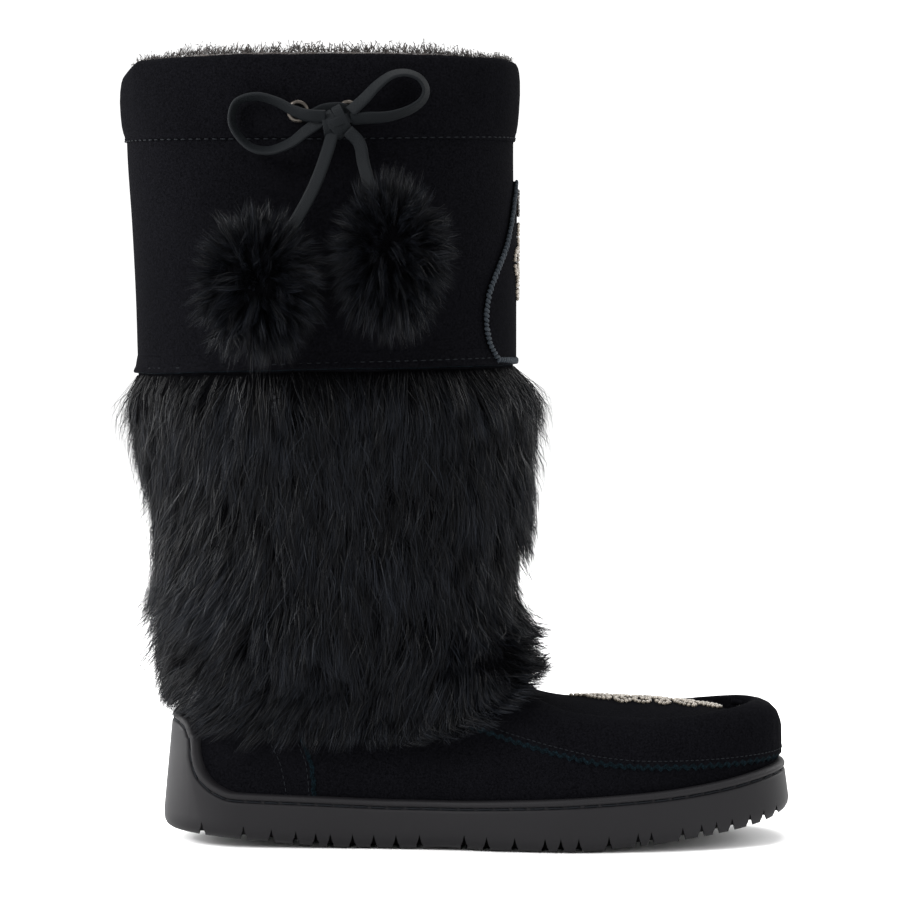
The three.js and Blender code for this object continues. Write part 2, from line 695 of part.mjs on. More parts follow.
const boot = new THREE.Group();
boot.position.x = -ORIGIN_X;

function add(name, made, look) {
  const mesh = new THREE.Mesh(made.isBufferGeometry ? made : geometryOf(made), look);
  mesh.name = name;
  boot.add(mesh);
}

const suede = lastForm(0);
const overSuede = lastForm(GAP);
add("outsole", makeOutsole(), rubberLook);
add("insole", makeInsole(), fleeceLook);
add("upper", makeUpper(suede), suedeLook);
add("vamp_wall", makeVampWall(overSuede), suedeLook);
add("apron", makeApron(), suedeLook);
add("heel_counter", makeHeelCounter(overSuede), suedeLook);
add("fur_leg", makeFurLeg(), furLook);
add("cuff_casing", makeCasing(overSuede), suedeLook);
add("front_panel", makeFrontPanel(overSuede), suedeLook);
add("eyelet_rear", makeEyelet(EYELET.rearX), gunmetalLook);
add("eyelet_front", makeEyelet(EYELET.frontX), gunmetalLook);
add("lace_crossing", cord(laceCrossing), laceLook);
add("bow_knot", makeKnot(), laceLook);
const clearOfCords = [makeKnot(GAP), ...POMPOMS.map((pompom) => makePompom(pompom, GAP))].map(solid);
for (const [name, route] of Object.entries(laceRoutes)) {
  add(name, clearOfCords.reduce((made, other) => made.subtract(other), cord(route)), laceLook);
}
for (const pompom of POMPOMS) add(pompom.name, makePompom(pompom), furLook);

export default boot;
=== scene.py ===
"""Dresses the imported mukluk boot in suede, fur, fleece, rubber, lace, beads and stitches, on a studio stage."""

import math

import bmesh
import bpy
import numpy as np
from mathutils import Matrix, Vector
from mathutils.bvhtree import BVHTree
from mathutils.kdtree import KDTree


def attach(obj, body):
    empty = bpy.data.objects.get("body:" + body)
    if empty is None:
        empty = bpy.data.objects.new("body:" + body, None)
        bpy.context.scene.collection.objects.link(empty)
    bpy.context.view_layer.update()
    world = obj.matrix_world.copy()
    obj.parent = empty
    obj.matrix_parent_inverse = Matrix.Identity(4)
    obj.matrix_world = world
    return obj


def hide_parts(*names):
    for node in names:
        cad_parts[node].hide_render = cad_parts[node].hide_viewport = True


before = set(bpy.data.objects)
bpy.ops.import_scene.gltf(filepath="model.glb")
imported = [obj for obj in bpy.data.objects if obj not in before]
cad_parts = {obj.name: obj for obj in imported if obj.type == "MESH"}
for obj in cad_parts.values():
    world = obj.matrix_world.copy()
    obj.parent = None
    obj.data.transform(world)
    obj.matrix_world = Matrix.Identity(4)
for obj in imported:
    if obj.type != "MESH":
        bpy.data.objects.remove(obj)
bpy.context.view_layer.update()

bl_info = {
    "name": "Mukluk boot",
    "version": (1, 0, 0),
    "blender": (4, 5, 0),
    "location": "3D View > Sidebar > Boot",
    "description": "Makes the visible pieces of a fur and suede mukluk boot round its fixed frame",
    "category": "Object",
}

MM = 0.001
ORIGIN_X = 133.0  # from the back of the heel to the frame's origin, in millimetres


# ---------------------------------------------------------------- sizes and colours that a user may change


def linear(hex_colour):
    """An sRGB hex colour as a linear RGB triple."""
    parts = [int(hex_colour[i : i + 2], 16) / 255 for i in (1, 3, 5)]
    return tuple(c / 12.92 if c <= 0.04045 else ((c + 0.055) / 1.055) ** 2.4 for c in parts)


def length_property(name, description, default):
    return bpy.props.FloatProperty(
        name=name, description=description, default=default, unit="LENGTH", precision=5
    )


def colour_property(name, description, default):
    return bpy.props.FloatVectorProperty(
        name=name, description=description, default=linear(default), subtype="COLOR", size=3, min=0, max=1
    )


class BootSizes(bpy.types.PropertyGroup):
    hair_length: length_property("Hair length", "Length of the fur leg's guard hairs", 0.028)
    hair_width: length_property("Hair width", "Breadth of one drawn hair", 0.00029)
    pile_length: length_property("Pile length", "Length of the fleece lining's pile", 0.0062)
    lace_width: length_property("Lace width", "Breadth of the flat lace", 0.0057)
    lace_thickness: length_property("Lace thickness", "Thickness of the flat lace", 0.0016)
    bead_size: length_property("Bead size", "Breadth of a seed bead", 0.0021)
    stitch_length: length_property("Stitch length", "Length of one stitch in the suede", 0.0017)
    stitch_gap: length_property("Stitch gap", "Gap between two stitches in the suede", 0.0008)


class BootColours(bpy.types.PropertyGroup):
    suede: colour_property("Suede", "Dyed suede", "#030304")
    suede_nap: colour_property("Suede nap", "Suede where its nap catches the light", "#0d0d10")
    # the fur tip colour is a painted highlight that hairs take near their tips, over the fur's own dark colour
    fur: colour_property("Fur", "Fur under the tips", "#030304")
    fur_tip_highlight: colour_property("Fur tips", "Fur where it catches the light", "#1b1e24")
    fleece: colour_property("Fleece", "Fleece lining", "#3f3a37")
    rubber: colour_property("Rubber", "Moulded rubber", "#0c0b0e")
    lace: colour_property("Lace", "Waxed lace", "#0e1012")
    raw_edge: colour_property("Raw edge", "Dyed cut edge of the suede", "#0c1a21")
    pearl: colour_property("Pearl beads", "Pearl and pewter beads", "#867e73")
    thread: colour_property("Thread", "Stitching thread", "#121417")


def sizes():
    return bpy.context.scene.boot_sizes


def colours():
    return bpy.context.scene.boot_colours


# ---------------------------------------------------------------- the last, in millimetres from the back of the heel

LIP_INSET = 4.2
TOE = {"x": 280.8, "crown_z": 61.8, "crown_x": 260.0, "nose_z": 42.0, "nose_x": 257.0, "nose_round": 3.8}
TOE_ROUND = {"reach": 64.0, "roundness": 2.35}
HEEL_ROUND = {"foot": 37.0, "shaft": 86.0, "roundness": 2.2}
TOE_SWING = {"from": 150.0, "to": 281.0, "shift": 5.0}
ANKLE = {"low": 66.0, "high": 114.0}

# each section's front x and z, its back x and z, how far its front edge rounds over, and how square that edge is
SECTIONS = np.array(
    [
        (159.4, 372, -13.6, 372, 86, 2.2), (160.0, 352, -15.6, 352, 86, 2.2), (159.8, 334, -16.0, 334, 87, 2.2),
        (159.4, 312, -15.4, 312, 87, 2.2), (159.6, 280, -13.4, 280, 86, 2.2), (159.4, 246, -11.8, 246, 86, 2.2),
        (159.4, 212, -10.8, 212, 85, 2.2), (160.6, 194, -8.4, 194, 84, 2.2), (159.4, 176, -4.0, 176, 82, 2.2),
        (157.0, 156, 2.5, 156, 78, 2.2), (153.6, 134, 6.4, 134, 74, 2.2), (151.0, 114, 8.0, 112, 70, 2.2),
        (150.6, 101, 7.8, 93, 66, 2.25), (152.0, 91, 8.6, 74, 60, 2.35), (155.0, 83, 9.2, 59, 54, 2.5),
        (158.6, 77.4, 7.8, 44, 49, 2.7), (162.6, 73, 6.6, 29, 45, 2.9), (166.6, 69.6, 6.0, 10, 41, 3.1),
        (171.0, 67, 40, 8, 38, 3.3), (176.0, 65, 90, 7, 35, 3.5), (182.0, 63.4, 140, 7, 33, 3.7),
        (190.0, 62, 184, 7, 31, 3.9), (206.0, 60.8, 206, 7, 30, 4.0), (224.0, 60.2, 224, 8, 29, 4.0),
    ]
)
LAST_SECTION = len(SECTIONS) - 1
HEEL_SECTIONS = SECTIONS[SECTIONS[:, 2] < 12]

# height and half breadth
SHAFT_BREADTH = np.array([(66, 38), (114, 44), (140, 48), (180, 55), (215, 58.5), (260, 60), (320, 60), (372, 58)])
# along the foot, half breadth on the outer side, half breadth on the inner side
SOLE_BREADTH = np.array(
    [
        (0, 33, 33), (45, 34.5, 33.5), (85, 35.5, 32.5), (120, 39, 32.5), (155, 45.5, 37.5), (190, 50, 45),
        (215, 49.5, 48), (250, 46, 46.5), (285, 44, 44),
    ]
)
# along the sole, its underside, the floor the foot stands on, and the rubber's top edge
SOLE_HEIGHTS = np.array(
    [
        (0, 6, 17, 25.4), (30, 4, 16.5, 25.3), (60, 1.4, 16, 24.2), (84, 0, 15.3, 23.3), (108, 0, 14.5, 22.6),
        (130, 0.9, 13.6, 22.6), (150, 0, 12.8, 23.1), (188, 0, 12, 24.9), (216, 2.2, 13.4, 26.5),
        (235, 4.3, 15.8, 28.3), (254, 6.7, 19, 30.9), (273, 9.8, 23, 34.5), (286, 13.4, 26, 37),
    ]
)
# along the foot, the heights of the collar's rim, the cuff's lower edge and the fur's hem
RIM = np.array([(-30, 345), (-17, 346.4), (-8, 353), (75, 354.4), (150, 354), (175, 350.6)])
CUFF_EDGE = np.array([(-30, 212.4), (70, 216.2), (190, 217.6)])
HEM = np.array(
    [(-40, 67), (2, 66.5), (18, 61), (34, 54), (64, 48.5), (108, 48.5), (140, 53), (158, 60), (174, 69), (188, 90)]
)


def along(table, at, column=1):
    """A column of a table at a place along it, on a smooth curve that never overshoots its rows."""
    rows = table[np.argsort(table[:, 0])]
    x, y = rows[:, 0], rows[:, column]
    at = np.clip(np.asarray(at, float), x[0], x[-1])
    i = np.clip(np.searchsorted(x, at, side="right") - 1, 0, len(x) - 2)
    step = np.diff(x)
    slope = np.diff(y) / step
    before, after = slope[:-1], slope[1:]
    product = before * after
    safe = np.where(before + after == 0, 1, before + after)
    inner = np.where(product <= 0, 0, 2 * product / safe)
    tangent = np.concatenate([[slope[0]], inner, [slope[-1]]])
    t = (at - x[i]) / step[i]
    t2, t3 = t * t, t * t * t
    return (
        (2 * t3 - 3 * t2 + 1) * y[i]
        + (t3 - 2 * t2 + t) * step[i] * tangent[i]
        + (3 * t2 - 2 * t3) * y[i + 1]
        + (t3 - t2) * step[i] * tangent[i + 1]
    )


def ease(low, high, value):
    """From 0 below low to 1 above high, smoothly."""
    t = np.clip((np.asarray(value, float) - low) / (high - low), 0, 1)
    return t * t * (3 - 2 * t)


def lerp(a, b, t):
    return a + (b - a) * t


def unit(vectors):
    """Vectors brought to length 1."""
    return vectors / np.maximum(np.linalg.norm(vectors, axis=-1, keepdims=True), 1e-12)


def foot_x(points):
    """How far along the foot places are, in millimetres from the back of the heel."""
    return points[..., 0] / MM + ORIGIN_X


def walked_along(path):
    """How far along a path each of its points is."""
    return np.concatenate([[0], np.cumsum(np.linalg.norm(np.diff(path, axis=0), axis=1))])


def end_round(distance, reach, roundness):
    """From 0 at an end to 1 a reach away from it, as the quarter of a superellipse."""
    near = np.clip(1 - np.maximum(distance, 0) / reach, 0, 1)
    return (1 - near**roundness) ** (1 / roundness)


def toe_swing(x):
    """How far the foot swings to the inner side at x along it, in millimetres."""
    return TOE_SWING["shift"] * ease(TOE_SWING["from"], TOE_SWING["to"], x)


SECTION_NUMBERS = np.arange(len(SECTIONS), dtype=float)
NUMBERED = np.column_stack([SECTION_NUMBERS, SECTIONS])


def section_ends(s, offset):
    """Front and back points, reach and roundness of section s, grown by an offset. Past the last, s rounds the toe."""
    body = np.minimum(s, LAST_SECTION)
    front_x, front_z, back_x, back_z, reach, roundness = (along(NUMBERED, body, c + 1) for c in range(6))
    nudge = 0.05
    dx = along(NUMBERED, body + nudge, 1) - along(NUMBERED, body - nudge, 1)
    dz = along(NUMBERED, body + nudge, 2) - along(NUMBERED, body - nudge, 2)
    length = np.maximum(np.hypot(dx, dz), 1e-9)
    front_x = front_x - offset * dz / length
    front_z = front_z + offset * dx / length
    back_x = back_x - np.where(body < 17.5, offset, 0)
    turn = np.clip(s - LAST_SECTION, 0, 1) * math.pi / 2
    start_x, start_z = SECTIONS[LAST_SECTION, 0], SECTIONS[LAST_SECTION, 1]
    toe_x = lerp(start_x, TOE["x"] + offset, np.sin(turn))
    crown = lerp(start_z, TOE["crown_z"], ease(start_x, TOE["crown_x"], toe_x))
    nose = end_round(TOE["x"] + offset - toe_x, TOE["x"] - TOE["nose_x"], TOE["nose_round"])
    toe_z = lerp(TOE["nose_z"], crown + offset, nose)
    past = s > LAST_SECTION
    front_x = np.where(past, toe_x, front_x)
    front_z = np.where(past, toe_z, front_z)
    back_x = np.where(past, toe_x, back_x)
    back_z = np.where(past, back_z + 0.25 * (toe_x - start_x), back_z)
    reach = np.where(past, np.maximum(10, reach * nose), reach)
    return front_x, front_z, back_x, back_z, reach, roundness


def last_point(s, t, side, offset=0.0):
    """The boot's outer surface at section s, a share t of the way from its front to its back, on side -1 or 1."""
    front_x, front_z, back_x, back_z, reach, roundness = section_ends(s, offset)
    x, z = lerp(front_x, back_x, t), lerp(front_z, back_z, t)
    down = t * np.hypot(back_x - front_x, back_z - front_z)
    foot = np.where(side < 0, along(SOLE_BREADTH, x, 1), along(SOLE_BREADTH, x, 2)) - LIP_INSET
    upward = ease(ANKLE["low"], ANKLE["high"], z)
    half = lerp(foot, along(SHAFT_BREADTH, z), upward) + offset
    heel = lerp(HEEL_ROUND["foot"], HEEL_ROUND["shaft"], upward) + offset
    back = along(HEEL_SECTIONS[:, [3, 2]], z)
    half = half * end_round(x - back + offset, heel, HEEL_ROUND["roundness"])
    half = half * end_round(TOE["x"] + offset - x, TOE_ROUND["reach"] + offset, TOE_ROUND["roundness"])
    half = half * end_round(down, reach + offset, roundness)
    return np.stack([x - ORIGIN_X, toe_swing(x) + side * half, z], -1) * MM


def section_at_height(z):
    """The number of the level section at a height of the shaft."""
    return along(np.column_stack([SECTIONS[:13, 1], SECTION_NUMBERS[:13]]), z)


def round_share(u):
    """A place u round the boot, 0 to 1 from the front by the outer side and the back, as (t, side)."""
    turn = (np.asarray(u) % 1.0) * 2 * math.pi
    return 0.5 * (1 - np.cos(turn)), np.where(turn < math.pi, -1.0, 1.0)


# ---------------------------------------------------------------- mesh helpers


def laid_sheet(columns, rows, place, closed=False):
    """A bmesh grid whose flat places (u, v) are laid on the boot by place, with the flat places as its UVs."""
    bm = bmesh.new()
    bmesh.ops.create_grid(bm, x_segments=columns, y_segments=rows, size=0.5)
    bm.verts.ensure_lookup_table()
    flat = np.array([vert.co[:2] for vert in bm.verts]) + 0.5
    layer = bm.loops.layers.uv.new("UVMap")
    for face in bm.faces:
        for loop in face.loops:
            loop[layer].uv = flat[loop.vert.index]
    for vert, point in zip(bm.verts, place(flat[:, 0], flat[:, 1])):
        vert.co = point
    if closed:
        bmesh.ops.remove_doubles(bm, verts=bm.verts, dist=1e-6)
    return bm


def table_sheet(table, closed=False):
    """A bmesh grid laid on a table of points (column, row, xyz)."""
    columns, rows = table.shape[0] - 1, table.shape[1] - 1

    def place(u, v):
        return table[np.rint(u * columns).astype(int), np.rint(v * rows).astype(int)]

    return laid_sheet(columns, rows, place, closed)


def mark_cut_edge(bm, is_cut):
    """Gives a sheet's faces whose flat place (u, v) is_cut says is cut its second material, the raw edge."""
    layer = bm.loops.layers.uv[0]
    for face in bm.faces:
        middle = sum((loop[layer].uv for loop in face.loops), Vector((0, 0))) / len(face.loops)
        face.material_index = int(is_cut(*middle))


def finish_piece(name, bm, material, replaces=(), smooth=True, outward=True):
    """A bmesh as a finished piece that rides with the boot, with its faces turned outward unless they already are."""
    if outward:
        bmesh.ops.recalc_face_normals(bm, faces=bm.faces)
    mesh = bpy.data.meshes.new(name)
    bm.to_mesh(mesh)
    bm.free()
    return place_mesh(name, mesh, material, replaces, smooth)


def place_mesh(name, mesh, material, replaces=(), smooth=True):
    """A mesh as a finished piece that rides with the boot."""
    mesh.materials.append(material)
    if smooth:
        mesh.shade_smooth()
    piece = bpy.data.objects.new(name, mesh)
    bpy.context.scene.collection.objects.link(piece)
    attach(piece, "root")
    if replaces:
        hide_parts(*replaces)
    return piece


def solidify(piece, thickness):
    """A wall of this thickness, inward from the piece's faces."""
    made = piece.modifiers.new("Wall", "SOLIDIFY")
    made.thickness = thickness
    made.offset = -1.0


def array_mesh(name, corners, faces, tones=None):
    """Copies of a small shape as one mesh: corners (copy, corner, xyz), one copy's faces, and a tone for each."""
    count, size = corners.shape[:2]
    loops = np.array([corner for face in faces for corner in face])
    starts = np.cumsum([0] + [len(face) for face in faces])
    first = np.arange(count)[:, None]
    mesh = bpy.data.meshes.new(name)
    mesh.vertices.add(count * size)
    mesh.vertices.foreach_set("co", corners.reshape(-1).astype(np.float32))
    mesh.loops.add(count * len(loops))
    mesh.loops.foreach_set("vertex_index", (first * size + loops).reshape(-1).astype(np.int32))
    mesh.polygons.add(count * len(faces))
    mesh.polygons.foreach_set("loop_start", (first * len(loops) + starts[:-1]).reshape(-1).astype(np.int32))
    mesh.update(calc_edges=True)
    if tones is not None:
        made = mesh.attributes.new("tone", "FLOAT", "POINT")
        made.data.foreach_set("value", np.broadcast_to(tones, (count, size)).reshape(-1).astype(np.float32))
    return mesh


class Surface:
    """A smooth copy of the boot's outer surface, for laying pieces on."""

    def __init__(self, offset=0.0):
        def place(u, v):
            t, side = round_share(u)
            return last_point(lerp(0.0, LAST_SECTION + 1.0, v), t, side, offset)

        bm = laid_sheet(96, 260, place, closed=True)
        bmesh.ops.recalc_face_normals(bm, faces=bm.faces)
        self.tree = BVHTree.FromBMesh(bm)
        bm.free()


# ---------------------------------------------------------------- material helpers


def node(tree, kind, inputs=None, **settings):
    """A node with its settings. An input is given a value, or another node's output to link from."""
    made = tree.nodes.new(kind)
    for name, value in settings.items():
        setattr(made, name, value)
    for socket, value in (inputs or {}).items():
        if isinstance(value, bpy.types.NodeSocket):
            tree.links.new(value, made.inputs[socket])
        else:
            made.inputs[socket].default_value = value
    return made


def blank_material(name):
    """A material with no nodes yet, and its tree."""
    made = bpy.data.materials.new(name)
    made.use_nodes = True
    made.node_tree.nodes.clear()
    return made, made.node_tree


def opaque(colour):
    """A colour with its alpha, for a socket."""
    return (*colour, 1.0)


def mottled(name, noise, shown, dark, light, bump, finish):
    """A material mottled from dark to light and roughened by a noise, over the part of its range that is shown."""
    made, tree = blank_material(name)
    place = node(tree, "ShaderNodeTexCoord").outputs["Object"]
    grain = node(tree, "ShaderNodeTexNoise", {"Vector": place, **noise}).outputs["Fac"]
    tone = node(tree, "ShaderNodeMapRange", {"Value": grain, "From Min": shown[0], "From Max": shown[1]})
    mix = {0: tone.outputs["Result"], 6: opaque(dark), 7: opaque(light)}
    colour = node(tree, "ShaderNodeMix", mix, data_type="RGBA").outputs[2]
    raised = node(tree, "ShaderNodeBump", {"Height": grain, "Strength": bump[0], "Distance": bump[1]})
    inputs = {"Base Color": colour, "Normal": raised.outputs["Normal"], **finish}
    shader = node(tree, "ShaderNodeBsdfPrincipled", inputs)
    node(tree, "ShaderNodeOutputMaterial", {"Surface": shader.outputs["BSDF"]})
    return made


# Napped suede: split leather sanded to a short velvety nap. It is matte, and paler at glancing angles.
def napped_suede():
    made, tree = blank_material("Napped suede")
    place = node(tree, "ShaderNodeTexCoord").outputs["Object"]
    nap = node(tree, "ShaderNodeTexNoise", {"Vector": place, "Scale": 1 / 0.045, "Detail": 3.0, "Roughness": 0.6})
    fibre = node(tree, "ShaderNodeTexNoise", {"Vector": place, "Scale": 1 / 0.0009, "Detail": 2.0, "Roughness": 0.75})
    brushed = node(tree, "ShaderNodeMapRange", {"Value": nap.outputs["Fac"], "To Min": 0.4, "To Max": 0.6})
    both = node(
        tree,
        "ShaderNodeMath",
        {0: brushed.outputs["Result"], 1: fibre.outputs["Fac"]},
        operation="MULTIPLY",
    )
    tone = node(
        tree,
        "ShaderNodeMapRange",
        {"Value": both.outputs[0], "From Min": 0.14, "From Max": 0.4, "To Min": 0.0, "To Max": 1.0},
    )
    colour = node(
        tree,
        "ShaderNodeMix",
        {0: tone.outputs["Result"], 6: opaque(colours().suede), 7: opaque(colours().suede_nap)},
        data_type="RGBA",
    )
    bump = node(tree, "ShaderNodeBump", {"Height": fibre.outputs["Fac"], "Strength": 0.55, "Distance": 0.0004})
    shader = node(
        tree,
        "ShaderNodeBsdfPrincipled",
        {
            "Base Color": colour.outputs[2],
            "Roughness": 0.95,
            "Specular IOR Level": 0.008,
            "Sheen Weight": 0.003,
            "Sheen Roughness": 0.45,
            "Sheen Tint": (0.75, 0.78, 0.86, 1.0),
            "Normal": bump.outputs["Normal"],
        },
    )
    node(tree, "ShaderNodeOutputMaterial", {"Surface": shader.outputs["BSDF"]})
    return made


# Moulded rubber: an even dull skin from the mould, with a faint grain and no grit.
def moulded_rubber():
    made, tree = blank_material("Moulded rubber")
    place = node(tree, "ShaderNodeTexCoord").outputs["Object"]
    grain = node(tree, "ShaderNodeTexNoise", {"Vector": place, "Scale": 1 / 0.0009, "Detail": 2.0})
    bloom = node(tree, "ShaderNodeTexNoise", {"Vector": place, "Scale": 1 / 0.03, "Detail": 4.0})
    rough = node(tree, "ShaderNodeMapRange", {"Value": bloom.outputs["Fac"], "To Min": 0.5, "To Max": 0.68})
    bump = node(tree, "ShaderNodeBump", {"Height": grain.outputs["Fac"], "Strength": 0.12, "Distance": 0.0002})
    shader = node(
        tree,
        "ShaderNodeBsdfPrincipled",
        {
            "Base Color": opaque(colours().rubber),
            "Roughness": rough.outputs["Result"],
            "IOR": 1.52,
            "Specular IOR Level": 0.18,
            "Normal": bump.outputs["Normal"],
        },
    )
    node(tree, "ShaderNodeOutputMaterial", {"Surface": shader.outputs["BSDF"]})
    return made


# Dyed rabbit fur: each hair has the fur's dark colour at its root, and some take a painted cold highlight near the tip.
# Each hair has its tone, which sets how much.
def dyed_fur_with_highlights():
    made, tree = blank_material("Dyed fur")
    tone = node(tree, "ShaderNodeAttribute", attribute_name="tone")
    colour = node(
        tree,
        "ShaderNodeMix",
        {0: tone.outputs["Fac"], 6: opaque(colours().fur), 7: opaque(colours().fur_tip_highlight)},
        data_type="RGBA",
    )
    shader = node(
        tree,
        "ShaderNodeBsdfPrincipled",
        {
            "Base Color": colour.outputs[2],
            "Roughness": 0.4,
            "IOR": 1.55,
            "Specular IOR Level": 0.06,
        },
    )
    node(tree, "ShaderNodeOutputMaterial", {"Surface": shader.outputs["BSDF"]})
    return made


# The coat's dark depth: soft down seen between the guard hairs, painted darker than the fur as the shade deep in the
# coat, where almost no light comes back.
def fur_undercoat_and_shade():
    noise = {"Scale": 1 / 0.0018, "Detail": 3.0, "Distortion": 0.6}
    finish = {"Roughness": 0.9, "Specular IOR Level": 0.02}
    return mottled("Fur undercoat", noise, (0.0, 1.0), linear("#010102"), colours().fur, (1.0, 0.0012), finish)


# Waxed cotton webbing: a flat plain weave pressed smooth by wax.
def waxed_lace():
    made, tree = blank_material("Waxed lace")
    place = node(tree, "ShaderNodeUVMap", uv_map="UVMap").outputs["UV"]
    parts = node(tree, "ShaderNodeSeparateXYZ", {"Vector": place})
    pick = node(tree, "ShaderNodeMath", {0: parts.outputs["X"], 1: 2 * math.pi / 0.0009}, operation="MULTIPLY")
    warp = node(tree, "ShaderNodeMath", {0: parts.outputs["Y"], 1: 2 * math.pi / 0.0011}, operation="MULTIPLY")
    over = node(tree, "ShaderNodeMath", {0: pick.outputs[0]}, operation="SINE")
    under = node(tree, "ShaderNodeMath", {0: warp.outputs[0]}, operation="SINE")
    weave = node(tree, "ShaderNodeMath", {0: over.outputs[0], 1: under.outputs[0]}, operation="MULTIPLY")
    # the weave's tone follows its relief: painted shade where the threads dip under and painted highlight where they
    # pass over
    tone = node(tree, "ShaderNodeMapRange", {"Value": weave.outputs[0], "From Min": -1.0, "To Min": 0.6, "To Max": 1.5})
    colour = node(tree, "ShaderNodeVectorMath", {0: colours().lace, "Scale": tone.outputs["Result"]}, operation="SCALE")
    bump = node(tree, "ShaderNodeBump", {"Height": weave.outputs[0], "Strength": 0.5, "Distance": 0.00012})
    shader = node(
        tree,
        "ShaderNodeBsdfPrincipled",
        {
            "Base Color": colour.outputs["Vector"],
            "Roughness": 0.6,
            "Specular IOR Level": 0.05,
            "Normal": bump.outputs["Normal"],
        },
    )
    node(tree, "ShaderNodeOutputMaterial", {"Surface": shader.outputs["BSDF"]})
    return made


# Gunmetal plating on brass: dark and warm, its roughness varying with wear.
def gunmetal():
    made, tree = blank_material("Gunmetal plating")
    place = node(tree, "ShaderNodeTexCoord").outputs["Object"]
    wear = node(tree, "ShaderNodeTexNoise", {"Vector": place, "Scale": 1 / 0.002, "Detail": 4.0})
    rough = node(tree, "ShaderNodeMapRange", {"Value": wear.outputs["Fac"], "To Min": 0.22, "To Max": 0.42})
    shader = node(
        tree,
        "ShaderNodeBsdfPrincipled",
        {"Base Color": opaque(linear("#47433f")), "Metallic": 1.0, "Roughness": rough.outputs["Result"]},
    )
    node(tree, "ShaderNodeOutputMaterial", {"Surface": shader.outputs["BSDF"]})
    return made


# Pinked edge: the cut side of thick split leather, where the dye shows teal and the fibres stand out.
def dyed_raw_edge():
    noise = {"Scale": 1 / 0.0008, "Detail": 3.0, "Roughness": 0.7}
    finish = {"Roughness": 0.9, "Specular IOR Level": 0.05}
    teal = colours().raw_edge
    return mottled("Dyed raw edge", noise, (0.46, 0.66), linear("#02070a"), teal, (0.9, 0.0005), finish)


# Waxed polyester thread: two plies twisted, a little brighter than the suede round it.
def waxed_thread():
    made, tree = blank_material("Waxed thread")
    place = node(tree, "ShaderNodeTexCoord").outputs["Object"]
    turned = node(tree, "ShaderNodeMapping", {"Vector": place, "Rotation": (0.0, 0.6, 0.4)})
    plies = node(tree, "ShaderNodeTexWave", {"Vector": turned.outputs["Vector"], "Scale": 1 / 0.0006 / 6.283})
    bump = node(tree, "ShaderNodeBump", {"Height": plies.outputs["Fac"], "Strength": 0.4, "Distance": 0.0001})
    shader = node(
        tree,
        "ShaderNodeBsdfPrincipled",
        {
            "Base Color": opaque(colours().thread),
            "Roughness": 0.7,
            "Specular IOR Level": 0.06,
            "Normal": bump.outputs["Normal"],
        },
    )
    node(tree, "ShaderNodeOutputMaterial", {"Surface": shader.outputs["BSDF"]})
    return made


# Pearl and pewter seed beads: glass with a lustre coat, so each has a soft bright spot. Each bead has its tone.
def pearl_beads(name="Pearl beads", dark=None, light=None, roughness=0.24):
    made, tree = blank_material(name)
    tone = node(tree, "ShaderNodeAttribute", attribute_name="tone")
    colour = node(
        tree,
        "ShaderNodeMix",
        {0: tone.outputs["Fac"], 6: opaque(dark or linear("#5f584e")), 7: opaque(light or colours().pearl)},
        data_type="RGBA",
    )
    shader = node(
        tree,
        "ShaderNodeBsdfPrincipled",
        {
            "Base Color": colour.outputs[2],
            "Metallic": 0.25,
            "Roughness": roughness,
            "Specular IOR Level": 0.5,
            "Coat Weight": 0.5,
            "Coat Roughness": 0.12,
        },
    )
    node(tree, "ShaderNodeOutputMaterial", {"Surface": shader.outputs["BSDF"]})
    return made


# Jet and bronze seed beads: dark glass that shows little but its bright spot.
def jet_beads():
    return pearl_beads("Jet beads", linear("#0a0908"), linear("#2a231c"), 0.2)


# Whipping: thick dull braid thread, blue-grey against the suede.
def whipping_thread():
    noise = {"Scale": 1 / 0.0007, "Detail": 3.0}
    finish = {"Roughness": 0.8, "Specular IOR Level": 0.2}
    blue = linear("#262d34")
    return mottled("Whipping thread", noise, (0.0, 1.0), linear("#0c1014"), blue, (0.6, 0.0003), finish)


# Fleece: curly sheared pile, soft and matt, mottled at random with darker patches painted as the shade where the curls
# part.
def fleece_pile():
    noise = {"Scale": 1 / 0.004, "Detail": 5.0, "Distortion": 1.2}
    finish = {"Roughness": 0.95, "Specular IOR Level": 0.1, "Sheen Weight": 0.3, "Sheen Roughness": 0.5}
    return mottled("Fleece pile", noise, (0.3, 0.7), linear("#2d2827"), colours().fleece, (1.0, 0.0025), finish)


# ---------------------------------------------------------------- stage

VIEW = {"distance": 1.7, "elevation": 3.0, "aim_x": 130.7, "aim_z": 177.6, "lens": 149.3}
# each light's name, its place and its breadth in metres, and its power in watts
LIGHTS = (
    ("Key", (-1.4, -1.05, 1.3), 0.9, 46.0),
    ("Fill", (1.5, -1.1, 0.7), 1.0, 7.0),
    ("Top", (0.1, 0.3, 1.9), 1.2, 30.0),
    ("Rim_left", (-1.5, 0.3, 0.6), 0.8, 34.0),
    ("Rim_right", (1.4, 0.9, 0.8), 0.8, 12.0),
)
LIT_PLACE = Vector((0, 0, 0.18))


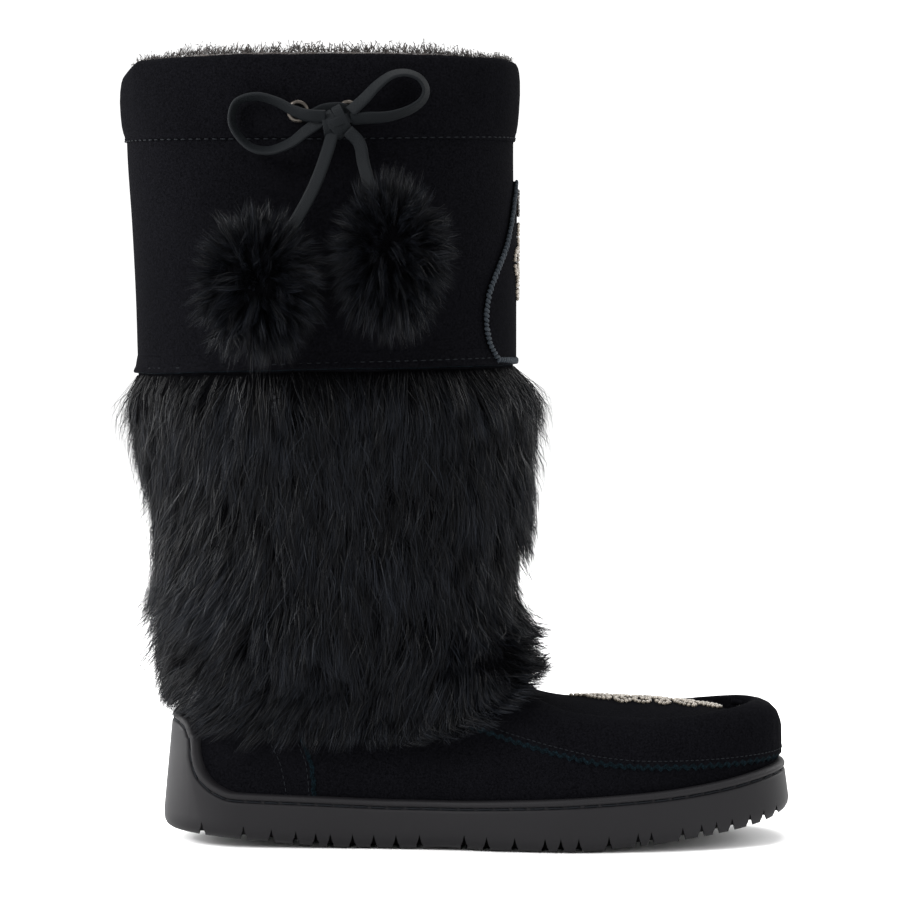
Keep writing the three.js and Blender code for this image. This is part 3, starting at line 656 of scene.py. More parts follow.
class BOOT_OT_stage(bpy.types.Operator):
    """Puts up the camera, the pale floor and the soft studio lights"""

    bl_idname = "boot.stage"
    bl_label = "Stage"

    def execute(self, context):
        scene = context.scene
        scene.view_settings.view_transform = "Standard"
        aim = Vector((VIEW["aim_x"] - ORIGIN_X, 0, VIEW["aim_z"])) * MM
        tilt = math.radians(VIEW["elevation"])
        camera = bpy.data.objects.new("Camera", bpy.data.cameras.new("Camera"))
        camera.data.lens = VIEW["lens"]
        camera.data.sensor_width = 36.0
        camera.data.clip_start = 0.05
        camera.location = aim + Vector((0, -math.cos(tilt), math.sin(tilt))) * VIEW["distance"]
        camera.rotation_euler = (math.pi / 2 - tilt, 0, 0)
        scene.collection.objects.link(camera)
        scene.camera = camera

        bm = bmesh.new()
        bmesh.ops.create_grid(bm, x_segments=1, y_segments=1, size=6.0)
        mesh = bpy.data.meshes.new("floor")
        bm.to_mesh(mesh)
        bm.free()
        made, tree = blank_material("Pale floor")
        paint = {"Base Color": (0.9, 0.9, 0.9, 1.0), "Roughness": 0.9, "Specular IOR Level": 0.1}
        shader = node(tree, "ShaderNodeBsdfPrincipled", paint)
        node(tree, "ShaderNodeOutputMaterial", {"Surface": shader.outputs["BSDF"]})
        mesh.materials.append(made)
        floor = bpy.data.objects.new("floor", mesh)
        scene.collection.objects.link(floor)

        world = bpy.data.worlds.new("Studio")
        world.use_nodes = True
        sky = world.node_tree.nodes["Background"]
        sky.inputs["Color"].default_value = (1, 1, 1, 1)
        sky.inputs["Strength"].default_value = 1.15
        scene.world = world

        for name, place, size, power in LIGHTS:
            light = bpy.data.lights.new(name, "AREA")
            light.size = size
            light.energy = power
            lamp = bpy.data.objects.new(name, light)
            lamp.location = place
            lamp.rotation_euler = (LIT_PLACE - Vector(place)).to_track_quat("-Z", "Y").to_euler()
            scene.collection.objects.link(lamp)
        return {"FINISHED"}


# ---------------------------------------------------------------- lace

# The routes that the lace follows from its knot, in millimetres from the back of the heel
LACE_ROUTES = {
    "bow_loop_left": [
        (76.2, -70.4, 325.4), (68.6, -70.2, 320.4), (61.4, -69.4, 315.0), (51.8, -67.4, 311.7),
        (43.4, -65.4, 313.6), (37.0, -64.0, 320.3), (35.4, -63.4, 326.8), (38.0, -64.0, 333.0),
        (46.1, -65.8, 335.3), (55.0, -67.6, 333.0), (63.4, -70.4, 328.6), (70.0, -72.8, 326.8),
        (76.8, -73.4, 326.4),
    ],
    "bow_loop_right": [
        (87.6, -71.2, 325.2), (95.0, -71.0, 325.8), (104.0, -68.4, 326.5), (113.0, -66.0, 329.4),
        (118.8, -64.2, 333.8), (120.2, -63.6, 338.8), (117.3, -64.0, 343.5), (111.5, -65.4, 345.6),
        (105.0, -67.0, 344.4), (98.8, -68.8, 339.8), (93.4, -70.8, 334.0), (87.4, -72.6, 328.4),
    ],
    "lace_end_left": [
        (79.8, -72.0, 319.4), (77.4, -73.6, 311.0), (73.6, -76.0, 300.0), (68.4, -79.6, 288.6),
        (60.0, -84.0, 274.0),
    ],
    "lace_end_right": [
        (86.4, -73.6, 320.2), (91.4, -74.2, 314.6), (93.2, -75.4, 306.0), (96.0, -79.0, 296.0),
        (101.0, -84.0, 282.0),
    ],
}


def smooth_route(points, per_leg=8):
    """A Catmull-Rom curve through the points, as evenly stepped places."""
    p = np.array(points, float)
    p = np.vstack([2 * p[0] - p[1], p, 2 * p[-1] - p[-2]])
    legs = []
    for a, b, c, d in zip(p[:-3], p[1:-2], p[2:-1], p[3:]):
        t = np.linspace(0, 1, per_leg, endpoint=False)[:, None]
        legs.append(0.5 * (2 * b + (c - a) * t + (2 * a - 5 * b + 4 * c - d) * t**2 + (3 * b - a - 3 * c + d) * t**3))
    return np.vstack([*legs, p[-2:-1]])


def flat_cord(path, across, width, thickness):
    """A ribbon with rounded edges swept along a path, lying with its breadth along across at each point."""
    corners = 12
    turn = np.linspace(0, 2 * math.pi, corners + 1) + math.pi / corners
    profile_w = np.sign(np.cos(turn)) * np.abs(np.cos(turn)) ** 0.35 * width / 2
    profile_t = np.sign(np.sin(turn)) * np.abs(np.sin(turn)) ** 0.6 * thickness / 2
    tangent = unit(np.gradient(path, axis=0))
    across = unit(across - (across * tangent).sum(1, keepdims=True) * tangent)
    up = np.cross(tangent, across)
    rings = path[:, None] + across[:, None] * profile_w[:, None] + up[:, None] * profile_t[:, None]
    bm = table_sheet(rings, closed=True)
    # its UVs run along it and across it in metres, so that the weave keeps its scale
    walked, layer = walked_along(path), bm.loops.layers.uv[0]
    for face in bm.faces:
        for loop in face.loops:
            u, v = loop[layer].uv
            loop[layer].uv = (walked[round(u * (len(path) - 1))], profile_w[round(v * corners)])
    bmesh.ops.holes_fill(bm, edges=[edge for edge in bm.edges if edge.is_boundary], sides=0)
    return bm


def lace_across(path, hang):
    """How the lace's breadth lies: flat to the boot where hang is 0, and turned on its edge as hang grows."""
    tangent = unit(np.gradient(path, axis=0))
    outward = np.tile([0.0, -1.0, 0.0], (len(path), 1))
    flat = np.cross(tangent, outward)
    return flat + np.outer(hang, [0.0, 1.0, 0.0])


class BOOT_OT_lace(bpy.types.Operator):
    """Ties the flat lace in its bow, with an end down to each pompom"""

    bl_idname = "boot.lace"
    bl_label = "Lace"

    def execute(self, context):
        material = waxed_lace()
        width, thickness = sizes().lace_width, sizes().lace_thickness
        for name, route in LACE_ROUTES.items():
            path = (smooth_route(route) - (ORIGIN_X, 0, 0)) * MM
            share = np.linspace(0, math.pi, len(path))
            hang = np.full(len(path), 0.35) if name.startswith("lace_end") else 0.5 + 1.6 * np.sin(share) ** 2
            piece = finish_piece(
                "flat_" + name,
                flat_cord(path, lace_across(path, hang), width, thickness),
                material,
                replaces=[name],
            )
            float(walked_along(path)[-1])
        return {"FINISHED"}


# ---------------------------------------------------------------- outsole

SOLE = {
    "length": 286.0, "top_z": 64.0, "top_inset": 0.8, "heel_lean": 4.6, "toe_lean": 2.6, "upright": 26.0,
    "upright_inset": 0.3,
}
# the heel cup's edge and then the rubber's top edge, along the sole
LIP = np.array(
    [
        (6.0, 59.4), (8.6, 58.6), (12.2, 56.0), (14.6, 50.6), (16, 42.5), (18.8, 34.4), (25, 28.4), (33, 25.4),
        (42, 24.9), (60, 24.2), (108, 22.6), (130, 22.6), (150, 23.1), (192, 24.9), (216, 26.5), (235, 28.3),
        (254, 30.9), (273, 34.5), (286, 37),
    ]
)
# down the wall from the lip: how far below it, and how far out from the wall
LIP_PROFILE = (
    (5.0, -3.8), (1.2, -3.8), (0.3, -3.4), (0.0, -2.6), (0.05, -1.6), (0.3, -0.6), (0.9, 0.05), (1.7, 0.3),
    (2.5, 0.15), (3.05, -0.3), (3.3, -0.95), (3.75, -1.1), (4.2, -0.95), (4.45, -0.35), (4.9, -0.05), (5.8, 0.0),
)
# up from the underside: height over it, and how far out from the wall
FOOT_PROFILE = ((9.0, 0.0), (6.0, 0.0), (3.6, -0.35), (1.8, -1.3), (0.7, -2.8), (0.0, -5.0), (0.0, -12.0), (0.0, -24.0))
LUG_PLACES = (
    19, 38, 50.5, 61.5, 70.5, 77, 87, 96.5, 106.5, 117, 137, 147, 159.5, 173,
    180, 188, 201.5, 214.5, 220.5, 234.6, 243.2, 250, 257.2, 265.6, 272.2, 278.4,
)
LUG = {"width": 3.0, "depth": 7.0, "reach": 15.0}
SOLE_SEAM = 3.75  # how far under the lip the sole's stitches run


def sole_half(side, x, inset):
    """Half the sole's breadth on one side at x along it, less an inset."""
    breadth = np.where(side < 0, along(SOLE_BREADTH, x, 1), along(SOLE_BREADTH, x, 2))
    heel = end_round(x - inset, HEEL_ROUND["foot"], HEEL_ROUND["roundness"])
    toe = end_round(SOLE["length"] - inset - x, TOE_ROUND["reach"], TOE_ROUND["roundness"])
    return np.maximum(0, breadth - inset) * heel * toe


def sole_wall(turn, z, outset):
    """A point of the sole's wall: turn runs from the toe by the outer side to the heel and back, z is its height."""
    t, side = 0.5 * (1 + np.cos(turn)), np.where(turn % (2 * math.pi) < math.pi, -1.0, 1.0)
    x = t * SOLE["length"]
    under = along(SOLE_HEIGHTS, x, 1)
    upright = under + SOLE["upright"]
    risen = np.clip((z - upright) / (SOLE["top_z"] - upright), 0, 1.2)
    inset = lerp(SOLE["upright_inset"], SOLE["top_inset"], risen) * np.clip((z - 6) / 20, 0, 1) - outset
    plain = lerp(inset, SOLE["length"] - inset, t)
    toe_lean = SOLE["toe_lean"] * np.clip((z - under - 6) / 20, 0, 1.2)
    leant = lerp(inset + risen * SOLE["heel_lean"], SOLE["length"] - inset - toe_lean, t)
    return np.stack([leant - ORIGIN_X, toe_swing(leant) + side * sole_half(side, plain, inset), z], -1) * MM


def outline_turns(count):
    """Turns round the sole's outline that stand evenly along it."""
    turn = np.linspace(0, 2 * math.pi, 4001)
    path = sole_wall(turn, np.full(4001, 20.0), 0.0)
    walked = walked_along(path) / MM
    return np.interp(np.linspace(0, walked[-1], count + 1), walked, turn), walked[-1], (walked, turn)


def lip_line(columns):
    """A way to read rows of the sole's wall under its lip, with the turns round the outline."""
    turns, perimeter, (walked, turn_of) = outline_turns(columns)
    walk = np.linspace(0, perimeter, columns + 1)
    lip = along(LIP, 0.5 * (1 + np.cos(turns)) * SOLE["length"])
    for _ in range(6):
        lip = along(LIP, foot_x(sole_wall(turns, lip, 0.0)))
    slope = np.gradient(lip, walk)
    slope = np.convolve(np.pad(slope, 3, mode="wrap"), np.ones(7) / 7, "valid")
    steep = np.sqrt(1 + slope**2)

    def row(drop, outset):
        moved = np.interp((walk + drop * slope / steep) % perimeter, walked, turn_of)
        return sole_wall(moved, lip - drop / steep, outset)

    return row, turns


def sole_bmesh():
    """The sole's wall from inside its lip down and in under the foot, to a line along its middle."""
    row, turns = lip_line(620)
    x_of = 0.5 * (1 + np.cos(turns)) * SOLE["length"]
    under = along(SOLE_HEIGHTS, x_of, 1)
    rows = [row(drop, outset) for drop, outset in LIP_PROFILE]
    rows += [sole_wall(turns, under + rise, outset) for rise, outset in FOOT_PROFILE]
    spine = rows[-1].copy()
    spine[:, 1] = toe_swing(x_of) * MM
    rows.append(spine)
    bm = table_sheet(np.stack(rows, 1), closed=True)
    bmesh.ops.recalc_face_normals(bm, faces=bm.faces)
    return bm


def lug_cutters():
    """Pointed wedges that stand across the sole's edge, one for each groove on each side, as one mesh."""
    bm = bmesh.new()
    for x in LUG_PLACES:
        top = float(along(SOLE_HEIGHTS, x, 1)) + LUG["depth"]
        for side in (-1.0, 1.0):
            edge = float(toe_swing(x) + side * sole_half(side, x, 0.0))
            half, reach = LUG["width"] / 2, LUG["reach"]
            rise = ((half * 1.15, -6), (half, top - 5.0), (half * 0.5, top - 3.2))
            outline = [*rise, (0, top), *((-a, b) for a, b in rise[::-1])]
            verts = [bm.verts.new(((x + a - ORIGIN_X) * MM, (edge - reach) * MM, b * MM)) for a, b in outline]
            face = bm.faces.new(verts)
            grown = bmesh.ops.extrude_face_region(bm, geom=[face])
            moved = [g for g in grown["geom"] if isinstance(g, bmesh.types.BMVert)]
            bmesh.ops.translate(bm, verts=moved, vec=(0, 2 * reach * MM, 0))
    bmesh.ops.recalc_face_normals(bm, faces=bm.faces)
    return bm


def cut_away(piece, bm):
    """Cuts a bmesh out of a piece."""
    mesh = bpy.data.meshes.new("cutter")
    bm.to_mesh(mesh)
    bm.free()
    cutter = bpy.data.objects.new("cutter", mesh)
    bpy.context.scene.collection.objects.link(cutter)
    made = piece.modifiers.new("Cut", "BOOLEAN")
    made.operation = "DIFFERENCE"
    made.solver = "EXACT"
    made.object = cutter
    bpy.context.view_layer.update()
    cut = bpy.data.meshes.new_from_object(piece.evaluated_get(bpy.context.evaluated_depsgraph_get()))
    piece.modifiers.remove(made)
    old = piece.data
    piece.data = cut
    cut.name = piece.name
    bpy.data.meshes.remove(old)
    bpy.data.objects.remove(cutter)
    bpy.data.meshes.remove(mesh)
    return piece


class BOOT_OT_outsole(bpy.types.Operator):
    """Moulds the rubber cupsole, with its lip, stitched groove and lugs"""

    bl_idname = "boot.outsole"
    bl_label = "Outsole"

    def execute(self, context):
        bm = sole_bmesh()
        bmesh.ops.holes_fill(bm, edges=[edge for edge in bm.edges if edge.is_boundary], sides=0)
        piece = finish_piece("rubber_outsole", bm, moulded_rubber(), ["outsole"], outward=False)
        cut_away(piece, lug_cutters())
        piece.data.shade_smooth()
        piece.data.set_sharp_from_angle(angle=math.radians(38))
        row, _ = lip_line(900)
        groove = row(SOLE_SEAM, -0.75)
        outward = unit(row(SOLE_SEAM, 1.0) - groove)
        thread = bpy.data.materials["Waxed thread"]
        stitch = {"length": 0.0072, "gap": 0.0008, "width": 0.001}
        sew("sole_stitches", [(groove, outward)], thread, **stitch, slot="sole_rubber", seed=5)
        return {"FINISHED"}


# ---------------------------------------------------------------- suede pieces


def open_below(bm, height, growth):
    """Opens a shell at a height in the cup of the sole, which slopes up to the toe, and under the apron."""
    for x, lower, slope in ((ORIGIN_X, 0.0, 0.0), (190.0, 1.0, 0.13)):
        bmesh.ops.bisect_plane(
            bm,
            geom=[*bm.verts, *bm.edges, *bm.faces],
            plane_co=((x - ORIGIN_X) * MM, 0, (height - lower) * MM),
            plane_no=Vector((-slope, 0, 1)).normalized(),
            clear_inner=True,
        )
    gone = [face for face in bm.faces if in_apron(face.calc_center_median(), growth)]
    bmesh.ops.delete(bm, geom=gone, context="FACES")


class BOOT_OT_upper(bpy.types.Operator):
    """Makes the suede upper from the collar down into the sole, with its wall"""

    bl_idname = "boot.upper"
    bl_label = "Upper"

    def execute(self, context):
        low_rim = section_at_height(300.0)

        def place(u, v):
            t, side = round_share(u)
            rim_x = foot_x(last_point(np.full_like(t, 1.0), t, side))
            first = section_at_height(along(RIM, rim_x) - 1.0)
            shaft, foot = lerp(first, low_rim, v / 0.25), lerp(low_rim, LAST_SECTION + 1.0, (v - 0.25) / 0.75)
            return last_point(np.where(v < 0.25, shaft, foot), t, side)

        bm = laid_sheet(112, 150, place, closed=True)
        open_below(bm, 20.5, 1.0)
        piece = finish_piece("suede_upper", bm, bpy.data.materials["Napped suede"], ["upper"])
        solidify(piece, 0.0022)
        return {"FINISHED"}


# along the foot, the apron's half breadth, the height of its edge and how much its crown stands over that
APRON = np.array(
    [
        (163, 21, 64.4, 6), (172, 27, 61.6, 5.6), (184, 31.4, 58.8, 6.2), (200, 33.6, 57, 7.4), (218, 33.6, 55.8, 7.6),
        (236, 31, 55.2, 6.6), (249, 26.4, 55, 5.2), (258, 20.6, 54.8, 3.4), (264, 14, 54.6, 1.8), (268, 4, 54.4, 0.6),
    ]
)


def in_apron(point, growth):
    """Whether a point lies over or under the apron, grown by millimetres."""
    x, y, z = point.x / MM + ORIGIN_X, point.y / MM, point.z / MM
    inside = APRON[0, 0] < x < APRON[-1, 0] + growth and z > 44
    return inside and abs(y - float(toe_swing(x))) < float(along(APRON, x, 1)) + growth


# height on the casing, and how far it stands off the suede, from its lower edge up and over the collar
CASING_PROFILE = (
    (0.0, 0.2), (0.1, 0.7), (0.9, 1.0), (2.0, 0.8), (3.0, 0.95), (4.5, 1.4), (8.0, 1.9), (14.0, 2.3), (22.0, 2.6),
    (28.0, 2.5), (32.0, 2.1), (34.4, 1.6), (35.8, 0.9), (36.6, -0.1), (36.9, -1.5), (36.5, -2.9), (35.2, -3.7),
    (30.0, -3.9),
)
CASING_BOTTOM = 317.5
CASING_TOP = 354.4


def casing_point(u, height, lift):
    """A point on the casing: its height is stretched so that its top follows the collar's rim."""
    t, side = round_share(u)
    level = section_at_height(np.full_like(t, 340.0))
    x = foot_x(last_point(level, t, side))
    rim = along(RIM, x)
    z = CASING_BOTTOM + height * (rim - CASING_BOTTOM) / (CASING_TOP - CASING_BOTTOM)
    return last_point(section_at_height(z), t, side, lift)


class BOOT_OT_casing(bpy.types.Operator):
    """Folds the suede drawstring casing over the collar"""

    bl_idname = "boot.casing"
    bl_label = "Casing"

    def execute(self, context):
        profile = np.array(CASING_PROFILE)
        rng = np.random.default_rng(4)
        waves = rng.uniform(0, 2 * math.pi, 9)

        def place(u, v):
            row = v * (len(profile) - 1)
            height = np.interp(row, np.arange(len(profile)), profile[:, 0])
            lift = np.interp(row, np.arange(len(profile)), profile[:, 1])
            ripple = sum(np.sin(2 * math.pi * u * (7 + 5 * k) + w) / (k + 2) for k, w in enumerate(waves))
            fullness = np.clip((height - 2) / 8, 0, 1) * np.clip((38 - height) / 6, 0, 1) * (lift > 0)
            return casing_point(u, height + 0.25 * ripple * (height > 30), lift + 0.22 * ripple * fullness)

        bm = laid_sheet(180, 3 * (len(profile) - 1), place, closed=True)
        bmesh.ops.recalc_face_normals(bm, faces=bm.faces)
        if bm.calc_volume(signed=True) < 0:
            bmesh.ops.reverse_faces(bm, faces=bm.faces)
        material = bpy.data.materials["Napped suede"]
        finish_piece("suede_casing", bm, material, ["cuff_casing"], outward=False)
        return {"FINISHED"}


# ---------------------------------------------------------------- hair

HAIR_STEPS = np.array([0.0, 0.36, 0.72, 1.0])
HAIR_TAPER = np.array([0.8, 1.0, 0.7])
SHORT_HAIR = (0, 2, 3)  # the steps that a short hair keeps


def hair_mesh(name, strands, facing, widths, tones, steps=(0, 1, 2, 3)):
    """Tapering ribbons along strands (hair, step, xyz), turned to face along facing, as one mesh with their tones."""
    strands, taper, along_hair = strands[:, steps], HAIR_TAPER[list(steps[:-1])], HAIR_STEPS[list(steps)]
    pairs = len(steps) - 1
    size = 2 * pairs + 1
    # a hair's corners are a pair at each step and its tip
    faces = [(2 * i, 2 * i + 1, 2 * i + 3, 2 * i + 2) for i in range(pairs - 1)] + [(size - 3, size - 2, size - 1)]
    run = unit(strands[:, 1:] - strands[:, :-1])
    across = unit(np.cross(run, facing[:, None, :])) * (widths / 2)[:, None, None]
    across = across * taper[:, None]
    corners = np.empty((len(strands), size, 3))
    corners[:, 0:-1:2] = strands[:, :-1] - across
    corners[:, 1:-1:2] = strands[:, :-1] + across
    corners[:, -1] = strands[:, -1]
    # a corner's tone rises from nothing at the root to the hair's tone at its tip; the fur paints its highlight by it
    return array_mesh(name, corners, faces, tones[:, None] * [*np.repeat(along_hair[:-1], 2), 1.0])


def grid_read(grid, row, column):
    """A grid of points read between its rows and columns. Its columns go all the way round."""
    rows, columns = grid.shape[0], grid.shape[1] - 1
    row = np.clip(row, 0, rows - 1.001)
    column = np.mod(column, 1.0) * columns
    i, j = row.astype(int), np.minimum(column.astype(int), columns - 1)
    a, b = (row - i)[..., None], (column - j)[..., None]
    top = grid[i, j] * (1 - b) + grid[i, j + 1] * b
    low = grid[i + 1, j] * (1 - b) + grid[i + 1, j + 1] * b
    return top * (1 - a) + low * a


class Hide:
    """The boot's outer surface under the fur, by distance down from the cuff's edge and place round the boot."""

    step = 0.0015

    def __init__(self, top, bottom, columns=200, reach=0.26):
        u = np.linspace(0, 1, columns + 1)
        t, side = round_share(u)
        s = np.linspace(0.0, LAST_SECTION, 900)
        points = last_point(s[:, None], t[None, :], side[None, :])
        rows = int(reach / self.step)
        self.grid = np.empty((rows, columns + 1, 3))
        self.hem = np.empty(columns + 1)
        for j in range(columns + 1):
            path = points[:, j]
            x, z = foot_x(path), path[:, 2] / MM
            first = np.argmax(z < along(top, x))
            last = first + np.argmax(z[first:] < along(bottom, x[first:]))
            walked = walked_along(path[first:])
            at = np.arange(rows) * self.step
            for axis in range(3):
                self.grid[:, j, axis] = np.interp(at, walked, path[first:, axis])
            self.hem[j] = walked[last - first]
        down = np.gradient(self.grid, axis=0)
        around = np.gradient(self.grid, axis=1)
        around[:, 0] = around[:, -1] = (self.grid[:, 1] - self.grid[:, -2]) / 2
        self.down, self.around = unit(down), around * columns
        normal = unit(np.cross(down, around))
        middle = self.grid.mean(1, keepdims=True)
        outward = np.sign(((self.grid - middle) * normal).sum(-1, keepdims=True))
        self.normal = normal * np.where(outward == 0, 1, outward)
        self.girth = np.linalg.norm(np.diff(self.grid, axis=1), axis=-1).sum(1)

    def hem_at(self, u):
        return np.interp(np.mod(u, 1.0), np.linspace(0, 1, len(self.hem)), self.hem)

    def at(self, w, u):
        """The place and the outward direction w metres down from the top edge, u of the way round."""
        row = np.asarray(w) / self.step
        return grid_read(self.grid, row, np.asarray(u)), unit(grid_read(self.normal, row, np.asarray(u)))

    def combing(self, w, u):
        """How far hair goes down and round (in w and u) for each metre of its length, as the coat is combed there."""
        place, normal = self.at(w, u)
        row = np.asarray(w) / self.step
        down, around = grid_read(self.down, row, np.asarray(u)), grid_read(self.around, row, np.asarray(u))
        x, z = foot_x(place), place[:, 2] / MM
        levels = sorted(COMBED)
        across = np.array([np.interp(x, COMBED_X, COMBED[level]) for level in levels])
        at = np.clip(np.interp(z, levels, range(len(levels))), 0, len(levels) - 1.001)
        i = at.astype(int)
        lean = np.radians(lerp(across[i, range(len(x))], across[i + 1, range(len(x))], at - i))
        plumb = unit(np.array([0, 0, -1.0]) + normal[:, 2:] * normal)
        ahead = unit(np.cross(plumb, normal))
        ahead = ahead * np.where(ahead[:, :1] < 0, -1, 1)
        lean = (lean * np.abs(ahead[:, 0]))[:, None]
        way = np.cos(lean) * plumb + np.sin(lean) * ahead
        speed = np.maximum(np.linalg.norm(around, axis=1), 0.05)
        round_way = around / speed[:, None]
        skew = np.clip((down * round_way).sum(1), -0.9, 0.9)
        p, q = (way * down).sum(1), (way * round_way).sum(1)
        return (p - skew * q) / (1 - skew**2), (q - skew * p) / (1 - skew**2) / speed


def wave(points, seed, size, octaves=2):
    """A smooth random field over points in metres, about -1 to 1."""
    rng = np.random.default_rng(seed)
    total = 0.0
    for octave in range(octaves):
        for _ in range(6):
            k = unit(rng.normal(size=3)) * 2 * math.pi / size * 2**octave * rng.uniform(0.6, 1.3)
            total = total + np.sin(points @ k + rng.uniform(0, 2 * math.pi)) / 2**octave
    return total / 4.0


# how deep the coat stands off the suede at the boot's front and back, by height
COAT_DEPTH = np.array(
    [
        (40, 13, 9), (60, 16, 10), (73, 17.6, 12.5), (82, 22, 19), (91, 23.4, 22), (101, 19.4, 22), (113, 16, 16.6),
        (125, 17, 13.4), (150, 14.6, 13.2), (168, 13.8, 10.8), (188, 14.8, 11.2), (204, 15.6, 16), (212, 14.6, 16),
        (218, 10.6, 11), (224, 6, 6),
    ]
)
ROOT_RISE = 0.009  # from the coat's lowest tips up to its lowest roots
SPREAD_ROW = 40  # the hide's row whose girth says how the roots spread round the boot
# the coat's locks, the hairs in each of its pieces, how far below its root a hair's depth is read, the least that a
# hair is trimmed to, and the share of hairs that stray
COAT = {"locks": 3400, "hairs": (38500, 38500, 30000), "ahead": 0.014, "least": 0.006, "stray": 0.05}
# which way the coat is combed: degrees from plumb, less than 0 to the heel and more to the toe, by place along the foot
COMBED_X = (2, 29, 55, 82, 108, 134, 158)
COMBED = {
    198: (-18, -12, -5, 2, 5, 12, 18),
    145: (-28, -22, -8, -2, 3, 10, 14),
    105: (-50, -38, -20, -10, -4, 5, 15),
    75: (-60, -48, -35, -22, -5, 10, 18),
    60: (-60, -45, -30, -15, 2, 14, 20),
}


def coat_depth(points, u):
    """How deep the coat is at places on the hide, in metres."""
    front, back = along(COAT_DEPTH, points[..., 2] / MM, 1), along(COAT_DEPTH, points[..., 2] / MM, 2)
    return lerp(front, back, round_share(u)[0]) * MM


def nearest_lock(places, centres):
    """For each place, the nearest of the lock centres."""
    tree = KDTree(len(centres))
    for i, centre in enumerate(centres):
        tree.insert(centre, i)
    tree.balance()
    return np.array([tree.find(place)[1] for place in places])


def scatter_on(hide, rng, count, above=0.0, below=ROOT_RISE):
    """Places (w, u) spread evenly over the hide between its top edge and its hem."""
    u = rng.uniform(0, 1, count * 3)
    w = rng.uniform(above, hide.hem.max(), count * 3)
    width = np.interp(w / hide.step, np.arange(len(hide.girth)), hide.girth) / hide.girth.max()
    columns = np.linalg.norm(np.diff(hide.grid[SPREAD_ROW], axis=0), axis=-1)
    columns = columns / columns.mean()
    local = columns[np.minimum((u * len(columns)).astype(int), len(columns) - 1)]
    keep = (rng.uniform(0, 1, count * 3) < width * local / local.max()) & (w < hide.hem_at(u) - below)
    return w[keep][:count], u[keep][:count]


def combed(hide, w, u, length, depth, way, stray, curl):
    """Strands from roots at (w, u), by their length, how far they stand off, their way, their stray and a curl."""
    tau = HAIR_STEPS[None, :]
    down = length[:, None] * tau**1.15 * way[0][:, None]
    girth = np.interp(w / hide.step, np.arange(len(hide.girth)), hide.girth)
    aside = way[1][:, None] * length[:, None] * tau
    strayed = np.sin(stray)[:, None] * length[:, None] * tau + curl[:, None] * np.sin(tau * 2.6)
    aside = aside + strayed / girth[:, None]
    lift = depth[:, None] * (1 - (1 - tau) ** 1.8)
    return w[:, None] + down, u[:, None] + aside, lift


def coat_ahead(hide, w, u):
    """The coat's depth where hair rooted at (w, u) lies."""
    return coat_depth(hide.at(w + COAT["ahead"], u)[0], u)


def trimmed(length, room, way):
    """Lengths cut to the room that is left down to the hem."""
    return np.minimum(length, np.maximum(room / np.maximum(way[0], 0.25), COAT["least"]))


class Locks:
    """The coat's locks, with what the hairs of each lock share."""

    def __init__(self, hide, rng, count):
        self.w, self.u = scatter_on(hide, rng, count)
        count = len(self.w)
        self.way = hide.combing(self.w, self.u)
        self.place, _ = hide.at(self.w, self.u)
        self.length = sizes().hair_length * rng.uniform(0.72, 1.05, count)
        self.lean = 0.2 * wave(self.place, 5, 0.05) + rng.normal(0, 0.13, count)
        swell = wave(self.place, 8, 0.045)
        self.stand = np.clip(rng.uniform(0.55, 0.95, count) + 0.22 * swell, 0.4, 1.08)
        # a lock's tone sets how much painted highlight its hairs take; it grows with the same swell that makes the lock
        # stand out, so standing locks are painted lighter
        self.tone = rng.uniform(0.0, 1.0, count) ** 1.6 * np.clip(1 + 0.9 * swell, 0.2, 2.0)
        self.hem = rng.normal(0, 0.0042, count)
        self.curl = rng.normal(0, 0.0012, count)
        depth = coat_ahead(hide, self.w, self.u) * self.stand * 0.9
        length = trimmed(self.length, hide.hem_at(self.u) + self.hem - self.w, self.way)
        self.middle = combed(hide, self.w, self.u, length, depth, self.way, self.lean, self.curl)

    def hairs(self, hide, rng, count, share):
        """Strands gathered into the locks, the way each faces, and its lock. share is of the lock's length."""
        w, u = scatter_on(hide, rng, count, above=-0.0005)
        count = len(w)
        place, _ = hide.at(w, u)
        own = nearest_lock(place + rng.normal(0, 0.0008, place.shape), self.place)
        depth = coat_ahead(hide, w, u)
        way = hide.combing(w, u)
        length = self.length[own] * rng.uniform(0.75, 1.12, count) * share
        room = hide.hem_at(u) + self.hem[own] + rng.normal(0, 0.0018, count) - w
        length = trimmed(length, room, way)
        stand = self.stand[own] * rng.uniform(0.7, 1.08, count)
        stray = rng.uniform(0, 1, count) < COAT["stray"]
        stand = np.where(stray, rng.uniform(0.9, 1.22, count), stand)
        lean = self.lean[own] + rng.normal(0, 0.08, count) + np.where(stray, rng.normal(0, 0.3, count), 0)
        curl = self.curl[own] + rng.normal(0, 0.0006, count)
        hair_w, hair_u, hair_lift = combed(hide, w, u, length, depth * stand, way, lean, curl)
        gather = rng.uniform(0.15, 0.65, count)[:, None] * HAIR_STEPS**1.5 * np.where(stray, 0.1, 1.0)[:, None]
        near_u = self.middle[1][own]
        near_u = near_u - np.rint(near_u - hair_u)
        hair_w = lerp(hair_w, self.middle[0][own], gather)
        hair_u = lerp(hair_u, near_u, gather)
        hair_lift = lerp(hair_lift, self.middle[2][own], gather * 0.6)
        places, normals = hide.at(hair_w, hair_u)
        strands = places + normals * (hair_lift + 0.0006)[..., None]
        twist = unit(np.cross(normals[:, 1], strands[:, 3] - strands[:, 0]))
        return strands, unit(normals[:, 1] + twist * rng.normal(0, 0.55, count)[:, None]), own


